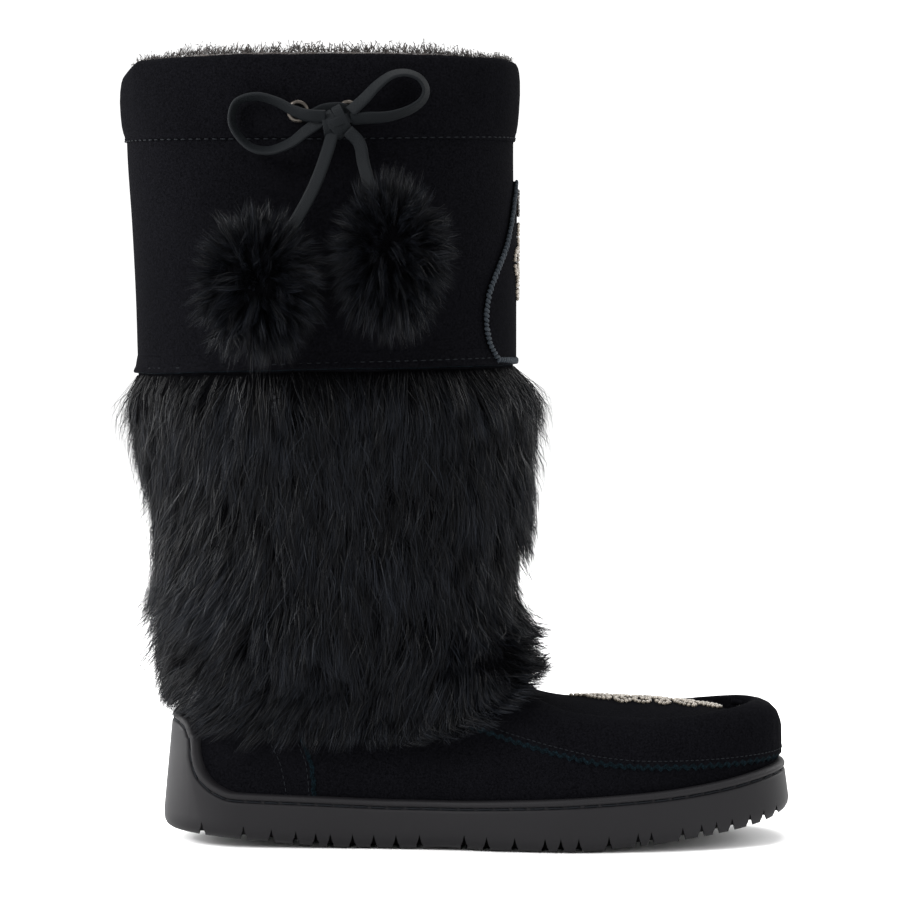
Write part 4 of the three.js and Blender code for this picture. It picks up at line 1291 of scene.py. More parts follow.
class BOOT_OT_fur_leg(bpy.types.Operator):
    """Grows the leg's fur in combed locks from its hide"""

    bl_idname = "boot.fur_leg"
    bl_label = "Fur leg"

    def execute(self, context):
        hide = Hide(CUFF_EDGE - (0, 1.0), HEM)
        rng = np.random.default_rng(11)
        locks = Locks(hide, rng, COAT["locks"])
        for part, count in enumerate(COAT["hairs"]):
            short = part == len(COAT["hairs"]) - 1
            strands, facing, own = locks.hairs(hide, rng, count, 0.7 if short else 1.0)
            widths = sizes().hair_width * rng.uniform(0.7, 1.25, len(own))
            # a hair's tone is how much painted highlight it takes near its tip: a share of its lock's and some of its
            # own
            tones = 0.3 * locks.tone[own] + rng.uniform(0, 1, len(own)) ** 4
            mesh = hair_mesh("fur_leg_coat", strands, facing, widths, tones, SHORT_HAIR if short else (0, 1, 2, 3))
            stands_for = ["fur_leg"] if part == 0 else []
            name = f"fur_leg_coat_{part + 1}"
            place_mesh(name, mesh, bpy.data.materials["Dyed fur"], stands_for, smooth=False)

        # a dark sheet under the hairs: partly the down, partly painted shade deep in the coat
        def laid(u, v):
            w = v * (hide.hem_at(u) - 0.006)
            place, normal = hide.at(w, u)
            depth = coat_depth(place, u) * 0.42 + 0.0009 * wave(place, 21, 0.012)
            return place + normal * (depth * np.minimum(1, np.sin(np.clip(v, 0, 1) * math.pi) * 3.2 + 0.1))[:, None]

        bm = laid_sheet(120, 64, laid, closed=True)
        under = finish_piece("fur_leg_undercoat_and_shade", bm, bpy.data.materials["Fur undercoat"], ["fur_leg"])
        solidify(under, 0.0008)
        return {"FINISHED"}


POMPOM = {"hairs": 21500, "locks": 700, "root": 0.38, "sag": 0.0035, "core": 0.56}
POMPOMS = {
    "left": {"centre": (48, -87, 254.5), "half": (30.5, 26, 36), "seed": 31},
    "right": {"centre": (105, -86, 267.5), "half": (28, 26, 37.5), "seed": 47},
}


class BOOT_OT_pompoms(bpy.types.Operator):
    """Makes the two fur pompoms"""

    bl_idname = "boot.pompoms"
    bl_label = "Pompoms"

    def execute(self, context):
        material = bpy.data.materials["Dyed fur"]
        for side, made in POMPOMS.items():
            rng = np.random.default_rng(made["seed"])
            centre = (np.array(made["centre"]) - (ORIGIN_X, 0, 0)) * MM
            half = np.array(made["half"]) * MM
            count, locks = POMPOM["hairs"], POMPOM["locks"]
            way = unit(rng.normal(size=(count, 3)))
            lock_way = unit(rng.normal(size=(locks, 3)))
            own = nearest_lock(way, lock_way)
            lock_reach = rng.uniform(0.82, 1.06, locks)
            lock_swirl = rng.normal(0, 0.16, (locks, 3))
            reach = lock_reach[own] * rng.uniform(0.8, 1.12, count)
            tip_way = unit(lerp(way, lock_way[own], rng.uniform(0.2, 0.8, count)[:, None]) + lock_swirl[own])
            tau = HAIR_STEPS[None, :, None]
            spread = unit(lerp(way[:, None], tip_way[:, None], tau**1.3))
            radius = lerp(POMPOM["root"], reach[:, None, None], tau)
            strands = centre + spread * radius * half
            strands[..., 2] -= POMPOM["sag"] * (tau[..., 0] ** 2) * (1 - np.abs(way[:, None, 2]) * 0.5)
            ribbon = unit(np.cross(unit(rng.normal(size=(count, 3))), way))
            facing = unit(np.array([0, -1.0, 0]) * 0.5 + ribbon + way * 0.3)
            widths = sizes().hair_width * rng.uniform(0.55, 1.05, count)
            # a hair's tone is how much painted highlight it takes near its tip
            tones = 0.2 * rng.uniform(0, 1, locks)[own] + rng.uniform(0, 1, count) ** 4
            mesh = hair_mesh("pompom", strands, facing, widths, tones, SHORT_HAIR)
            place_mesh(f"fur_pompom_{side}", mesh, material, [f"pompom_{side}"], smooth=False)

            # a dark core under the hairs: partly the pompom's down, partly painted shade inside it
            bm = bmesh.new()
            bmesh.ops.create_icosphere(bm, subdivisions=4, radius=1.0)
            for vert in bm.verts:
                way = np.array(vert.co)
                size = POMPOM["core"] + 0.05 * float(wave(way * 0.02, 9, 0.012))
                vert.co = Vector(centre + way * half * size)
            down = bpy.data.materials["Fur undercoat"]
            finish_piece(f"pompom_core_{side}", bm, down, [f"pompom_{side}"], outward=False)
        return {"FINISHED"}


# ---------------------------------------------------------------- many small things


def template(make):
    """The vertices and faces of a small shape that a bmesh operator makes."""
    bm = bmesh.new()
    make(bm)
    bm.verts.ensure_lookup_table()
    places = np.array([vert.co[:] for vert in bm.verts])
    faces = [[vert.index for vert in face.verts] for face in bm.faces]
    bm.free()
    return places, faces


def bead_shape(bm):
    bmesh.ops.create_uvsphere(bm, u_segments=8, v_segments=5, radius=0.5)


def stitch_shape(bm):
    """A short thread, thickest in the middle, that dives at both its ends."""
    bmesh.ops.create_uvsphere(bm, u_segments=6, v_segments=6, radius=0.5, matrix=Matrix.Rotation(math.pi / 2, 4, "Y"))
    for vert in bm.verts:
        vert.co.x = math.copysign(abs(2 * vert.co.x) ** 0.7, vert.co.x) / 2


def many_copies(name, shape, places, frames, scales, tones=None):
    """One mesh of a small shape set at many places. frames hold each copy's x, y and z axes; scales its three sizes."""
    verts, faces = template(shape)
    local = verts[None] * scales[:, None, :]
    world = np.einsum("nvi,nij->nvj", local, frames) + places[:, None, :]
    return array_mesh(name, world, faces, None if tones is None else tones[:, None])


def frames_along(tangents, normals):
    """Axes for copies: x along the tangents, z close to the normals."""
    x = unit(tangents)
    z = unit(normals - (normals * x).sum(1, keepdims=True) * x)
    return np.stack([x, np.cross(z, x), z], 1)


def evenly(path, pitch, extra=()):
    """Places every pitch along a path, with the tangent there, and the same for other arrays that go with it."""
    walked = walked_along(path)
    at = np.arange(pitch / 2, walked[-1], pitch)

    def read(values):
        return np.stack([np.interp(at, walked, values[:, i]) for i in range(3)], 1)

    return read(path), unit(read(np.gradient(path, axis=0))), [read(values) for values in extra]


def sew(name, rows, material, length=None, gap=None, width=0.0005, slot="suede", seed=3):
    """Rows of stitches, each row a path and the outward directions along it, as one piece."""
    length, gap = length or sizes().stitch_length, gap or sizes().stitch_gap
    rng = np.random.default_rng(seed)
    places, frames = [], []
    for path, normals in rows:
        at, tangent, (outward,) = evenly(path, length + gap, [normals])
        places.append(at)
        frames.append(frames_along(tangent + rng.normal(0, 0.03, tangent.shape), outward))
    places, frames = np.vstack(places), np.vstack(frames)
    scales = np.array([length, width, width * 0.9]) * rng.uniform(0.9, 1.08, (len(places), 3))
    mesh = many_copies(name, stitch_shape, places, frames, scales)
    return place_mesh(name, mesh, material)


def ring_path(heights, lift, count=480, start=0.0, end=1.0):
    """A path round the shaft at heights given along the foot, lifted off the suede, with the outward directions."""
    u = np.linspace(start, end, count + 1)
    t, side = round_share(u)
    z = np.full(count + 1, float(heights[0, 1]))
    for _ in range(4):
        x = foot_x(last_point(section_at_height(z), t, side))
        z = along(heights, x)
    level = section_at_height(z)
    points = last_point(level, t, side, lift)
    return points, unit(last_point(level, t, side, lift + 2.0) - points)


# ---------------------------------------------------------------- pieces sewn on the foot

OVERLAY = 1.9
PINKED = np.array(
    [(128, 60), (144, 54.8), (162, 49), (181, 43.8), (198, 40.2), (217, 38.2), (240, 37.8), (290, 39.4)], float
)
TOOTH = {"pitch": 4.2, "depth": 1.8}
TOE_PIVOT = 235.0
COUNTER_EDGE = np.array([(14, 69.4), (37, 67.6), (49, 63.5), (72, 60)], float)
APRON_START = 163.0


def apron_edge(way):
    """Where the apron's edge is, from the toe's pivot along a direction in plan."""
    pivot = np.array([TOE_PIVOT, float(toe_swing(TOE_PIVOT))])
    for reach in np.linspace(1, 60, 600):
        x, y = pivot + way * reach
        if x > APRON[-1, 0] or abs(y - float(toe_swing(x))) > float(along(APRON, x, 1)):
            return np.array([x, y])
    return pivot + way * 33


def wall_stations():
    """Round the vamp wall from the outer side by the toe to the inner side: the apron's edge and the way out."""
    straight = np.arange(134.0, TOE_PIVOT, 1.0)
    legs = []
    for side in (-1.0, 1.0):
        leg = []
        for x in straight:
            y = float(toe_swing(x)) + side * float(along(APRON, max(x, APRON_START), 1))
            leg.append((np.array([x, y]), np.array([0.0, side])))
        legs.append(leg)
    turn = np.linspace(-math.pi / 2, math.pi / 2, 150)
    ways = [np.array([math.cos(a), math.sin(a)]) for a in turn]
    toe = [(apron_edge(way), way) for way in ways]
    return legs[0] + toe + legs[1][::-1]


def wall_section(surface, edge, way, start_lift):
    """A path up the foot's side in one station's plane, from the pinked line to the top of the rolled edge."""
    z = 40.0
    for _ in range(3):
        origin = Vector((edge[0] - ORIGIN_X, edge[1], z)) * MM
        hit, _, _, _ = surface.tree.ray_cast(origin, Vector((way[0], way[1], 0)))
        z = float(along(PINKED, hit.x / MM + ORIGIN_X, 1))
    origin = Vector((edge[0] - ORIGIN_X, edge[1], z)) * MM
    points, normals = [], []
    for a in np.linspace(0, math.radians(87), 60):
        ray = Vector((way[0] * math.cos(a), way[1] * math.cos(a), math.sin(a)))
        hit, normal, _, _ = surface.tree.ray_cast(origin, ray)
        out = (hit.x - origin.x) * way[0] + (hit.y - origin.y) * way[1]
        if hit.z > 76 * MM or out < start_lift * MM:
            break
        points.append(np.array(hit))
        normals.append(np.array(normal))
    return np.array(points), np.array(normals)


def resample(path, at):
    """A path read at distances along it."""
    walked = walked_along(path)
    return np.stack([np.interp(at, walked, path[:, i]) for i in range(3)], 1), walked[-1]


# into the boot and down from the top of the vamp wall: the rolled edge and the turned-in side
ROLL = ((0.7, 0.0), (1.4, 0.25), (2.0, 0.75), (2.35, 1.5), (2.5, 2.5), (2.5, 4.5), (2.4, 8.0), (2.2, 12.0))


class BOOT_OT_vamp_wall(bpy.types.Operator):
    """Sews the pinked wall round the toe and turns it in over the apron"""

    bl_idname = "boot.vamp_wall"
    bl_label = "Vamp wall"

    def execute(self, context):
        surface = Surface(OVERLAY)
        stations = wall_stations()
        body_rows = 22
        walked, columns, seam, seam_normals = 0.0, [], [], []
        before = None
        for edge, way in stations:
            points, normals = wall_section(surface, edge, way, 2.5)
            if before is not None:
                walked += float(np.linalg.norm(points[0] - before)) / MM
            before = points[0]
            _, total = resample(points, [0.0])
            tooth = TOOTH["depth"] * abs((walked / TOOTH["pitch"]) % 1.0 * 2 - 1) * MM
            body, _ = resample(points, tooth + (total - tooth) * np.linspace(0, 1, body_rows) ** 1.2)
            down = unit(points[0] - points[1])
            cut = body[0] + down * 0.0021 - normals[0] * 0.0015
            under = body[0] + down * 0.0018 - normals[0] * 0.0026
            inward = np.array([-way[0], -way[1], 0.0])
            rolled = [body[-1] + inward * i * MM + np.array([0, 0, -d]) * MM for i, d in ROLL]
            columns.append([under, cut, *body, *rolled])
            line, _ = resample(points, [2.9 * MM])
            seam.append(line[0] + normals[0] * 0.0001)
            seam_normals.append(normals[0])
        table = np.array(columns)
        smooth = table.copy()
        smooth[1:-1, body_rows + 1 :] = (
            table[:-2, body_rows + 1 :] + 2 * table[1:-1, body_rows + 1 :] + table[2:, body_rows + 1 :]
        ) / 4
        rows = smooth.shape[1] - 1
        bm = table_sheet(smooth)
        mark_cut_edge(bm, lambda u, v: v * rows < 2)
        piece = finish_piece("suede_vamp_wall", bm, bpy.data.materials["Napped suede"], ["vamp_wall"])
        piece.data.materials.append(bpy.data.materials["Dyed raw edge"])
        sew("vamp_stitches", [(np.array(seam), np.array(seam_normals))], bpy.data.materials["Waxed thread"])
        return {"FINISHED"}


class BOOT_OT_heel_counter(bpy.types.Operator):
    """Wraps the suede counter round the heel, with its cut edge and two seams"""

    bl_idname = "boot.heel_counter"
    bl_label = "Heel counter"

    def execute(self, context):
        surface, near = Surface(OVERLAY), Surface(0.1)

        def column(tree, degrees, ahead=0.0, wander=1.0):
            """Where rays from the counter's front edge, moved ahead, meet a surface in one direction."""
            way = Vector((math.cos(math.radians(degrees)), math.sin(math.radians(degrees)), 0))
            hits = []
            for z in np.linspace(17, 73, 42):
                ragged = wander * (0.25 * math.sin(z * 0.9) + 0.15 * math.sin(z * 2.3))
                x = float(along(COUNTER_EDGE, z, 1)) + ragged + ahead
                hits.append(np.array(tree.ray_cast(Vector((x - ORIGIN_X, 0, z)) * MM, way)[0]))
            return hits

        first, last = column(near.tree, -90, OVERLAY), column(near.tree, 90, OVERLAY, wander=0.0)
        table = np.array([first, *(column(surface.tree, a) for a in np.linspace(-90, -270, 121)), last])
        count = len(table) - 1
        bm = table_sheet(table)
        mark_cut_edge(bm, lambda u, v: min(u, 1 - u) * count < 1)
        piece = finish_piece("suede_heel_counter", bm, bpy.data.materials["Napped suede"], ["heel_counter"])
        piece.data.materials.append(bpy.data.materials["Dyed raw edge"])

        rows = []
        for side in (-1.0, 1.0):
            for back in (1.3, 12.0):
                path, normals = [], []
                for z in np.linspace(22, 66, 60):
                    x = float(along(COUNTER_EDGE, z, 1)) - back - (0.1 if back > 5 else 0.0) * (z - 30)
                    origin = Vector((x - ORIGIN_X, 0, z)) * MM
                    hit, normal, _, _ = surface.tree.ray_cast(origin, Vector((0, side, 0)))
                    path.append(np.array(hit + normal * 0.0001))
                    normals.append(np.array(normal))
                rows.append((np.array(path), np.array(normals)))
        sew("counter_stitches", rows, bpy.data.materials["Waxed thread"], length=0.0021, gap=0.0009, width=0.0005)
        return {"FINISHED"}


def apron_place(x, across, lift=0.0):
    """A place on the apron: x along the foot, across it from -1 to 1 of its half breadth, in metres."""
    half, edge, crown = (along(APRON, x, c) for c in (1, 2, 3))
    z = edge + crown * (1 - across * across) + lift
    return np.stack([x - ORIGIN_X, toe_swing(x) + across * half, z], -1) * MM


def bead_rows(curves, size, surface_of, seed, jitter=0.06):
    """Beads strung along curves in a flat pattern, laid on a surface, as places, normals and sizes."""
    rng = np.random.default_rng(seed)
    places = []
    for curve in curves:
        flat = smooth_route(np.column_stack([np.array(curve, float), np.zeros(len(curve))]), 10)
        strung, _, _ = evenly(flat, size * 1.02)
        places.append(strung[:, :2])
    flat = np.vstack(places)
    kept = []
    for spot in flat:
        if all((spot[0] - k[0]) ** 2 + (spot[1] - k[1]) ** 2 > (0.8 * size) ** 2 for k in kept):
            kept.append(spot)
    flat = np.array(kept)
    at, normals = surface_of(flat)
    sizes_of = size * MM * rng.uniform(1 - jitter, 1 + jitter, len(flat))
    return at, normals, sizes_of, rng.uniform(0, 1, len(flat))


def bead_mesh(name, at, normals, sizes_of, tones, seed):
    """Beads turned at random on their thread, sunk a little in the suede, as one mesh."""
    rng = np.random.default_rng(seed)
    tangents = unit(np.cross(normals, rng.normal(size=normals.shape)))
    frames = frames_along(tangents, normals + rng.normal(0, 0.15, normals.shape))
    scales = np.stack([sizes_of, sizes_of, sizes_of * 0.82], 1)
    return many_copies(name, bead_shape, at + normals * sizes_of[:, None] * 0.32, frames, scales, tones)


def petal_ring(x, y, reach, size, petals, turn=0.0):
    """Closed loops of beads round a middle, as a plain flower."""
    curves = []
    for k in range(petals):
        a = turn + 2 * math.pi * k / petals
        middle = (x + reach * math.cos(a), y + reach * math.sin(a))
        curves.append(
            [(middle[0] + size * math.cos(b), middle[1] + size * math.sin(b)) for b in np.linspace(0, 2 * math.pi, 9)]
        )
    curves.append([(x + 1.6 * math.cos(b), y + 1.6 * math.sin(b)) for b in np.linspace(0, 2 * math.pi, 6)])
    return curves


def mirrored(curves):
    return curves + [[(x, -y) for x, y in curve] for curve in curves]


# The apron's beaded spray, in plan: along the foot, and across it from its middle line
SPRAY = (
    [[(185, 0.0), (205, 0.6), (230, 0.4), (256, 0.0)], [(188, 1.9), (205, 2.6), (230, 2.3), (253, 1.6)]]
    + petal_ring(218.5, 0.0, 7.2, 3.4, 6, math.pi / 6)
    + mirrored(
        [
            [(193, 1.5), (197, 5.6), (202, 7.2), (203.5, 4.6), (200, 2.4)],
            [(207, 2.6), (206, 7.4), (209, 11.0), (212.5, 8.6), (210.6, 4.4)],
            [(229, 2.4), (230.6, 7.4), (227.4, 10.8), (225, 8.0)],
            [(233, 2.2), (236.5, 7.6), (241.5, 9.2), (242, 5.4), (237, 2.6)],
            [(244, 1.8), (248, 4.2), (252, 4.0), (254.5, 1.4)],
        ]
    )
)


class BOOT_OT_apron(bpy.types.Operator):
    """Crowns the suede apron over the foot and strings its beads"""

    bl_idname = "boot.apron"
    bl_label = "Apron"

    def execute(self, context):
        start, end = APRON[0, 0], APRON[-1, 0]

        def place(u, v):
            return apron_place(start - 4 + (end - start + 4) * u, (2 * v - 1) * 1.02)

        bm = laid_sheet(110, 60, place)
        piece = finish_piece("suede_apron", bm, bpy.data.materials["Napped suede"], ["apron"])
        solidify(piece, 0.0016)

        def on_apron(flat):
            x = flat[:, 0]
            across = flat[:, 1] / along(APRON, x, 1)
            at = apron_place(x, across)
            ahead, aside = apron_place(x + 0.5, across), apron_place(x, across + 0.02)
            normals = unit(np.cross(ahead - at, aside - at))
            return at, normals * np.where(normals[:, 2:] < 0, -1, 1)

        at, normals, sizes_of, tones = bead_rows(SPRAY, sizes().bead_size / MM, on_apron, 8)
        mesh = bead_mesh("apron_beads", at, normals, sizes_of, tones, 9)
        place_mesh("apron_beads", mesh, bpy.data.materials["Pearl beads"])
        return {"FINISHED"}


# ---------------------------------------------------------------- pieces sewn on the shaft

# heights of the seams round the shaft, along the foot
CUFF_SEAM = np.array([(-9, 215.6), (73, 219), (160, 220.8)], float)
CASING_SEAM = np.array([(-15, 317.4), (73, 317.1), (160, 319.0)], float)
# up from the cuff's cut edge: height over it, and how far it stands off the suede
FLAP_PROFILE = (
    (0.5, 0.6), (0.0, 1.1), (-0.1, 1.6), (0.1, 1.9), (0.7, 2.0), (1.6, 1.7), (3.0, 1.0), (4.6, 0.75), (7.5, 0.15),
)
FLAP_CUT_ROWS = 3


class BOOT_OT_cuff_flap(bpy.types.Operator):
    """Turns the cuff's suede edge out over the fur and sews it"""

    bl_idname = "boot.cuff_flap"
    bl_label = "Cuff flap"

    def execute(self, context):
        profile = np.array(FLAP_PROFILE)
        rows = len(profile) - 1

        def place(u, v):
            row = np.rint(v * rows).astype(int)
            t, side = round_share(u)
            level = section_at_height(np.full_like(t, 214.0))
            x = foot_x(last_point(level, t, side))
            turn = 2 * math.pi * u
            ripple = np.sin(9 * turn + 0.7) + 0.6 * np.sin(23 * turn) + 0.4 * np.sin(41 * turn)
            loose = np.clip(1 - profile[row, 0] / 5, 0, 1)
            z = along(CUFF_EDGE, x) + profile[row, 0] + 0.12 * ripple * loose
            return last_point(section_at_height(z), t, side, profile[row, 1] + 0.22 * ripple * loose)

        bm = laid_sheet(320, rows, place, closed=True)
        mark_cut_edge(bm, lambda u, v: v * rows < FLAP_CUT_ROWS)
        piece = finish_piece("suede_cuff_flap", bm, bpy.data.materials["Napped suede"])
        piece.data.materials.append(bpy.data.materials["Dyed raw edge"])
        thread = bpy.data.materials["Waxed thread"]
        rows_sewn = [ring_path(CUFF_SEAM, 1.0), ring_path(CASING_SEAM, 0.9)]
        sew("shaft_stitches", rows_sewn, thread, length=0.0024, gap=0.0015, width=0.0006, seed=6)
        return {"FINISHED"}


# the front panel's height and half breadth
FRONT_PANEL = np.array(
    [
        (299.6, 5), (291, 12), (281, 17.6), (270, 23.6), (259, 30.6), (247.5, 35.4), (238, 36.3), (228, 34.6),
        (219.6, 29.4),
    ]
)
# the panel's beading, from its middle line and by height: a stepped crest over two bands of lozenges
CREST = [
    [(0, 296), (3.2, 290), (0, 284), (-3.2, 290), (0, 296)],
    [(-6.0, 293), (-6.0, 286)],
    [(6.0, 286), (6.0, 293)],
]
LOZENGES = [
    [(c - 4.6, z), (c, z + 5.4), (c + 4.6, z), (c, z - 5.4), (c - 4.6, z)]
    for z, centres in ((274.8, (0.0,)), (263.4, (-10.4, 0.0, 10.4)), (251.8, (-5.2, 5.2)))
    for c in centres
]
BANDS = [[(-8, 269.2), (0, 269.3), (8, 269.2)], [(-10.5, 257.5), (0, 257.6), (10.5, 257.5)]]


class BOOT_OT_front_panel(bpy.types.Operator):
    """Sews the beaded suede panel on the front of the shaft, with its whipped edge"""

    bl_idname = "boot.front_panel"
    bl_label = "Front panel"

    def execute(self, context):
        surface = Surface(1.5)

        def laid(flat, lift=0.0):
            """Places (across, height) on the panel, in millimetres, laid on the front of the shaft."""
            places, normals = [], []
            for across, z in flat:
                hit, normal, _, _ = surface.tree.ray_cast(Vector((60 - ORIGIN_X, across, z)) * MM, Vector((1, 0, 0)))
                places.append(np.array(hit + normal * lift * MM))
                normals.append(np.array(normal))
            return np.array(places), np.array(normals)

        def place(u, v):
            z = lerp(FRONT_PANEL[0, 0], FRONT_PANEL[-1, 0], v)
            return laid(np.stack([(2 * u - 1) * along(FRONT_PANEL, z), z], 1))[0]

        bm = laid_sheet(48, 60, place)
        piece = finish_piece("suede_front_panel", bm, bpy.data.materials["Napped suede"], ["front_panel"])
        solidify(piece, 0.0014)
        if piece.data.polygons[len(piece.data.polygons) // 2].normal.x < 0:
            piece.data.flip_normals()

        heights = np.linspace(FRONT_PANEL[0, 0], FRONT_PANEL[-1, 0], 160)
        halves = along(FRONT_PANEL, heights)
        edge = [(-h, z) for h, z in zip(halves, heights)]
        for share in np.linspace(0, 1, 60)[1:-1]:
            edge.append((lerp(-halves[-1], halves[-1], share), heights[-1] - 1.2 * math.sin(math.pi * share)))
        edge += [(h, z) for h, z in zip(halves[::-1], heights[::-1])]
        path, normals = laid(edge, 0.1)
        at, tangent, (outward,) = evenly(path, 0.0021, [normals])
        frames = frames_along(tangent, outward)
        turn = math.radians(58)
        turned = frames.copy()
        turned[:, 0] = frames[:, 0] * math.cos(turn) + frames[:, 1] * math.sin(turn)
        turned[:, 1] = frames[:, 1] * math.cos(turn) - frames[:, 0] * math.sin(turn)
        rng = np.random.default_rng(12)
        scales = np.array([0.0034, 0.002, 0.002]) * rng.uniform(0.85, 1.12, (len(at), 3))
        mesh = many_copies("panel_whipping", stitch_shape, at, turned, scales)
        place_mesh("panel_whipping", mesh, whipping_thread())

        size = sizes().bead_size / MM
        for name, curves, material, bead, seed in (
            ("panel_crest_beads", CREST, "Jet beads", size * 0.95, 21),
            ("panel_beads", LOZENGES + BANDS, "Pearl beads", size, 22),
        ):
            spots, outward, sizes_of, tones = bead_rows(curves, bead, laid, seed)
            mesh = bead_mesh(name, spots, outward, sizes_of, tones, seed)
            place_mesh(name, mesh, bpy.data.materials[material])
        return {"FINISHED"}


# ---------------------------------------------------------------- inside


# the pile's strands, how far down from the rim they go, how far inside the suede they stand, and how much of the rim
# they stand up from, in millimetres, and a strand's breadth in metres
PILE = {"strands": 20000, "deep": 60.0, "inset": -3.6, "rim": 5.0, "width": 0.0007}


class BOOT_OT_lining(bpy.types.Operator):
    """Lines the boot with fleece from the collar to the insole"""

    bl_idname = "boot.lining"
    bl_label = "Lining"

    def execute(self, context):
        material = bpy.data.materials["Fleece pile"]
        fold = section_at_height(330.0)

        def fringe(x):
            """How far up the fleece stands over the casing at x, as a share of its most."""
            return ease(-2, 16, x) * (1 - ease(128, 146, x))

        def place(u, v):
            t, side = round_share(u)
            rim_x = foot_x(last_point(np.full_like(t, 1.0), t, side))
            first = section_at_height(along(RIM, rim_x) - 3.5)
            s = np.where(v < 0.1, lerp(first, fold, v / 0.1), lerp(fold, LAST_SECTION + 0.97, (v - 0.1) / 0.9))
            points = last_point(s, t, side, -2.5)
            points[:, 2] += 0.0042 * fringe(rim_x) * np.clip(1 - v / 0.1, 0, 1)
            return points

        bm = laid_sheet(90, 110, place, closed=True)
        open_below(bm, 17.5, 2.0)
        piece = finish_piece("fleece_lining", bm, material)
        solidify(piece, 0.0011)
        for slot in bpy.data.objects["insole"].material_slots:
            slot.material = material

        rng = np.random.default_rng(17)
        count = PILE["strands"]
        u = rng.uniform(0, 1, count)
        t, side = round_share(u)
        deep = rng.uniform(0, 1, count) ** 2.8 * PILE["deep"]
        x = foot_x(last_point(np.full_like(t, 1.0), t, side))
        level = section_at_height(along(RIM, x) - 1.2 - deep)
        root = last_point(level, t, side, PILE["inset"])
        inward = unit(last_point(level, t, side, -8.0) - root)
        reach = sizes().pile_length * rng.uniform(0.35, 0.8, count)[:, None]
        at_rim = np.clip(1 - deep / PILE["rim"], 0, 1)[:, None]
        tall = at_rim * fringe(x)[:, None]
        root[:, 2] += 0.0034 * tall[:, 0] * rng.uniform(0, 1, count)
        ruffled = rng.normal(0, 0.45, (count, 3)) * (1 + 0.7 * at_rim)
        way = unit(inward * (1 - 0.55 * at_rim) + np.array([0, 0, 1.0]) * (1.3 * at_rim - 0.1) + ruffled)
        curl = rng.normal(0, 0.0011, (count, 3))
        tau = HAIR_STEPS[None, :, None]
        strands = root[:, None] + way[:, None] * reach[:, None] * tau + curl[:, None] * np.sin(tau * 3.0)
        facing = unit(rng.normal(size=(count, 3)) + inward)
        widths = PILE["width"] * rng.uniform(0.7, 1.2, count)
        mesh = hair_mesh("fleece_pile", strands, facing, widths, rng.uniform(0, 1, count), SHORT_HAIR)
        place_mesh("fleece_pile", mesh, material, smooth=False)
        return {"FINISHED"}


# ---------------------------------------------------------------- eyelets, crossing and knot

EYELETS = {"rear": 64.3, "front": 86.1}
EYELET_FACE, EYELET_HEIGHT = -61.9, 329.0
# an eyelet's section: distance from its axis, and how far its face stands out
EYELET_SECTION = (
    (2.85, -1.5), (2.85, 0.2), (3.05, 0.75), (3.5, 1.0), (4.1, 0.95), (4.7, 0.6), (5.0, 0.2), (5.05, 0.0),
    (3.6, 0.0), (3.6, -1.5),
)
CROSSING_ROUTE = [
    (64.3, -61.2, 329.0), (64.3, -65.2, 328.6), (69.0, -66.9, 326.6), (75.4, -65.9, 329.6), (82.0, -66.2, 330.4),
    (86.1, -65.2, 329.2), (86.1, -61.2, 329.0),
]
KNOT = {"centre": (81.6, -70.6, 323.6), "deep": 3.1}
# the knot's wraps: which way each is wound (degrees), how far along the knot it lies, its half length and its breadth
KNOT_WRAPS = ((118, -2.6, 6.2, 4.6), (126, 1.4, 6.0, 4.8), (98, 4.2, 4.4, 4.0), (20, 0.2, 5.8, 4.4))


class BOOT_OT_eyelets(bpy.types.Operator):
    """Sets the two gunmetal eyelets in the casing"""

    bl_idname = "boot.eyelets"
    bl_label = "Eyelets"

    def execute(self, context):
        material = gunmetal()
        for name, x in EYELETS.items():
            bm = bmesh.new()
            corners = [(x + r - ORIGIN_X, EYELET_FACE - out, EYELET_HEIGHT) for r, out in EYELET_SECTION]
            ring = [bm.verts.new(Vector(corner) * MM) for corner in corners]
            edges = [bm.edges.new((a, b)) for a, b in zip(ring, ring[1:] + ring[:1])]
            bmesh.ops.spin(
                bm, geom=[*ring, *edges], cent=((x - ORIGIN_X) * MM, 0, EYELET_HEIGHT * MM), axis=(0, 1, 0),
                angle=2 * math.pi, steps=48, use_merge=True,
            )
            bmesh.ops.remove_doubles(bm, verts=bm.verts, dist=1e-6)
            finish_piece(f"gunmetal_eyelet_{name}", bm, material, [f"eyelet_{name}"])
        return {"FINISHED"}


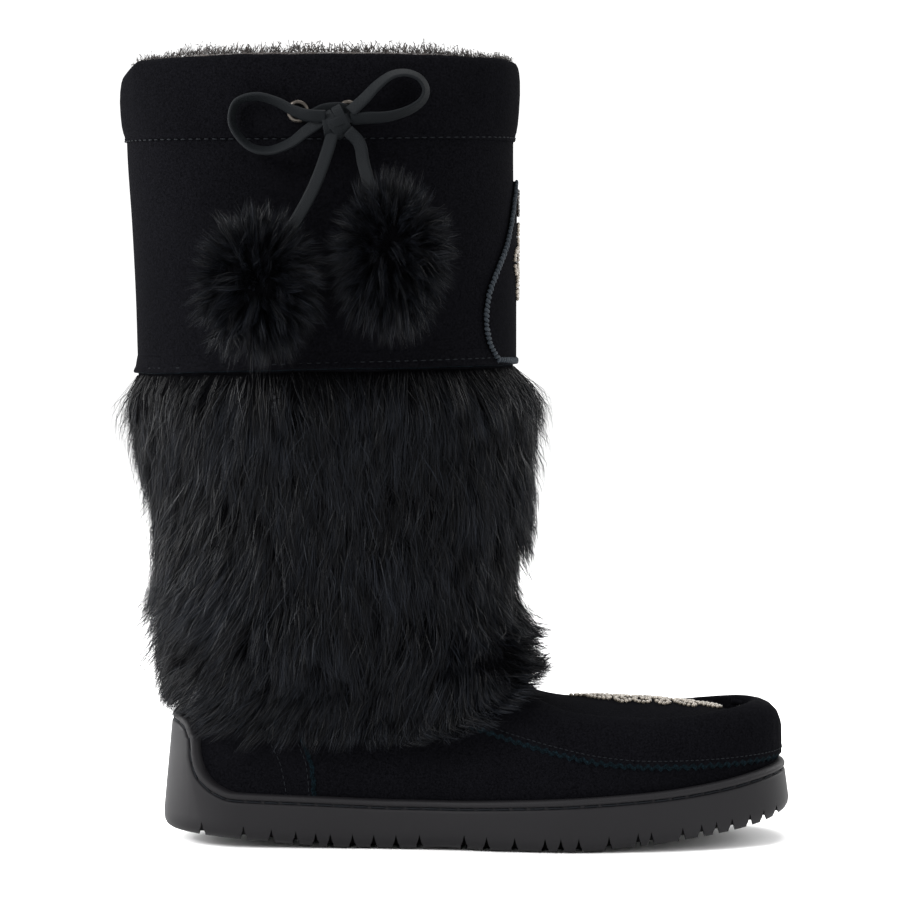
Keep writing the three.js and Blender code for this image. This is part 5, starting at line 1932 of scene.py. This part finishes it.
class BOOT_OT_knot(bpy.types.Operator):
    """Crosses the lace between the eyelets and winds the bow's knot"""

    bl_idname = "boot.knot"
    bl_label = "Knot"

    def execute(self, context):
        material = bpy.data.materials["Waxed lace"]
        width, thickness = sizes().lace_width, sizes().lace_thickness
        path = (smooth_route(CROSSING_ROUTE) - (ORIGIN_X, 0, 0)) * MM
        across = lace_across(path, np.full(len(path), 0.15))
        across[:6] = across[-6:] = (0, 0, 1)
        crossing = flat_cord(path, across, width * 0.86, thickness)
        finish_piece("flat_lace_crossing", crossing, material, ["lace_crossing"])
        bm = bmesh.new()
        centre = (np.array(KNOT["centre"]) - (ORIGIN_X, 0, 0)) * MM
        turn = np.linspace(0, 2 * math.pi, 33)[:, None]
        for degrees, shift, half, breadth in KNOT_WRAPS:
            a = math.radians(degrees)
            long_way = np.array([math.cos(a), 0, math.sin(a)])
            breadth_way = np.array([-math.sin(a), 0, math.cos(a)])
            bulge = 1 - 0.06 * abs(shift)
            out_way = np.array([0, 1, 0])
            ring = centre + breadth_way * shift * MM
            ring = ring + long_way * np.cos(turn) * half * MM + out_way * np.sin(turn) * KNOT["deep"] * bulge * MM
            wrap = flat_cord(ring, np.tile(breadth_way, (len(ring), 1)), breadth * MM, thickness)
            mesh = bpy.data.meshes.new("wrap")
            wrap.to_mesh(mesh)
            wrap.free()
            bm.from_mesh(mesh)
            bpy.data.meshes.remove(mesh)
        finish_piece("flat_bow_knot", bm, material, ["bow_knot"])
        return {"FINISHED"}


# ---------------------------------------------------------------- panel, registering and running


class BOOT_PT_pieces(bpy.types.Panel):
    """The boot's pieces, sizes and colours"""

    bl_idname = "BOOT_PT_pieces"
    bl_label = "Mukluk boot"
    bl_space_type = "VIEW_3D"
    bl_region_type = "UI"
    bl_category = "Boot"

    def draw(self, context):
        layout = self.layout
        for settings in (context.scene.boot_sizes, context.scene.boot_colours):
            box = layout.box()
            for name in settings.__annotations__:
                box.prop(settings, name)
        for made in STEPS:
            layout.operator(made.bl_idname)


# the operators, in the order in which they run
STEPS = (
    BOOT_OT_stage,
    BOOT_OT_pompoms,
    BOOT_OT_lace,
    BOOT_OT_knot,
    BOOT_OT_eyelets,
    BOOT_OT_outsole,
    BOOT_OT_upper,
    BOOT_OT_lining,
    BOOT_OT_casing,
    BOOT_OT_cuff_flap,
    BOOT_OT_fur_leg,
    BOOT_OT_vamp_wall,
    BOOT_OT_heel_counter,
    BOOT_OT_apron,
    BOOT_OT_front_panel,
)
CLASSES = (BootSizes, BootColours, *STEPS, BOOT_PT_pieces)
# the materials that more than one piece wears
SHARED_MATERIALS = (
    napped_suede, dyed_fur_with_highlights, fur_undercoat_and_shade, dyed_raw_edge, waxed_thread, pearl_beads, jet_beads, fleece_pile,
)


def register():
    for made in CLASSES:
        bpy.utils.register_class(made)
    bpy.types.Scene.boot_sizes = bpy.props.PointerProperty(type=BootSizes)
    bpy.types.Scene.boot_colours = bpy.props.PointerProperty(type=BootColours)


def unregister():
    del bpy.types.Scene.boot_sizes
    del bpy.types.Scene.boot_colours
    for made in reversed(CLASSES):
        bpy.utils.unregister_class(made)


def main():
    register()
    for make in SHARED_MATERIALS:
        make()
    for made in STEPS:
        group, name = made.bl_idname.split(".")
        getattr(getattr(bpy.ops, group), name)()


if __name__ == "__main__":
    main()
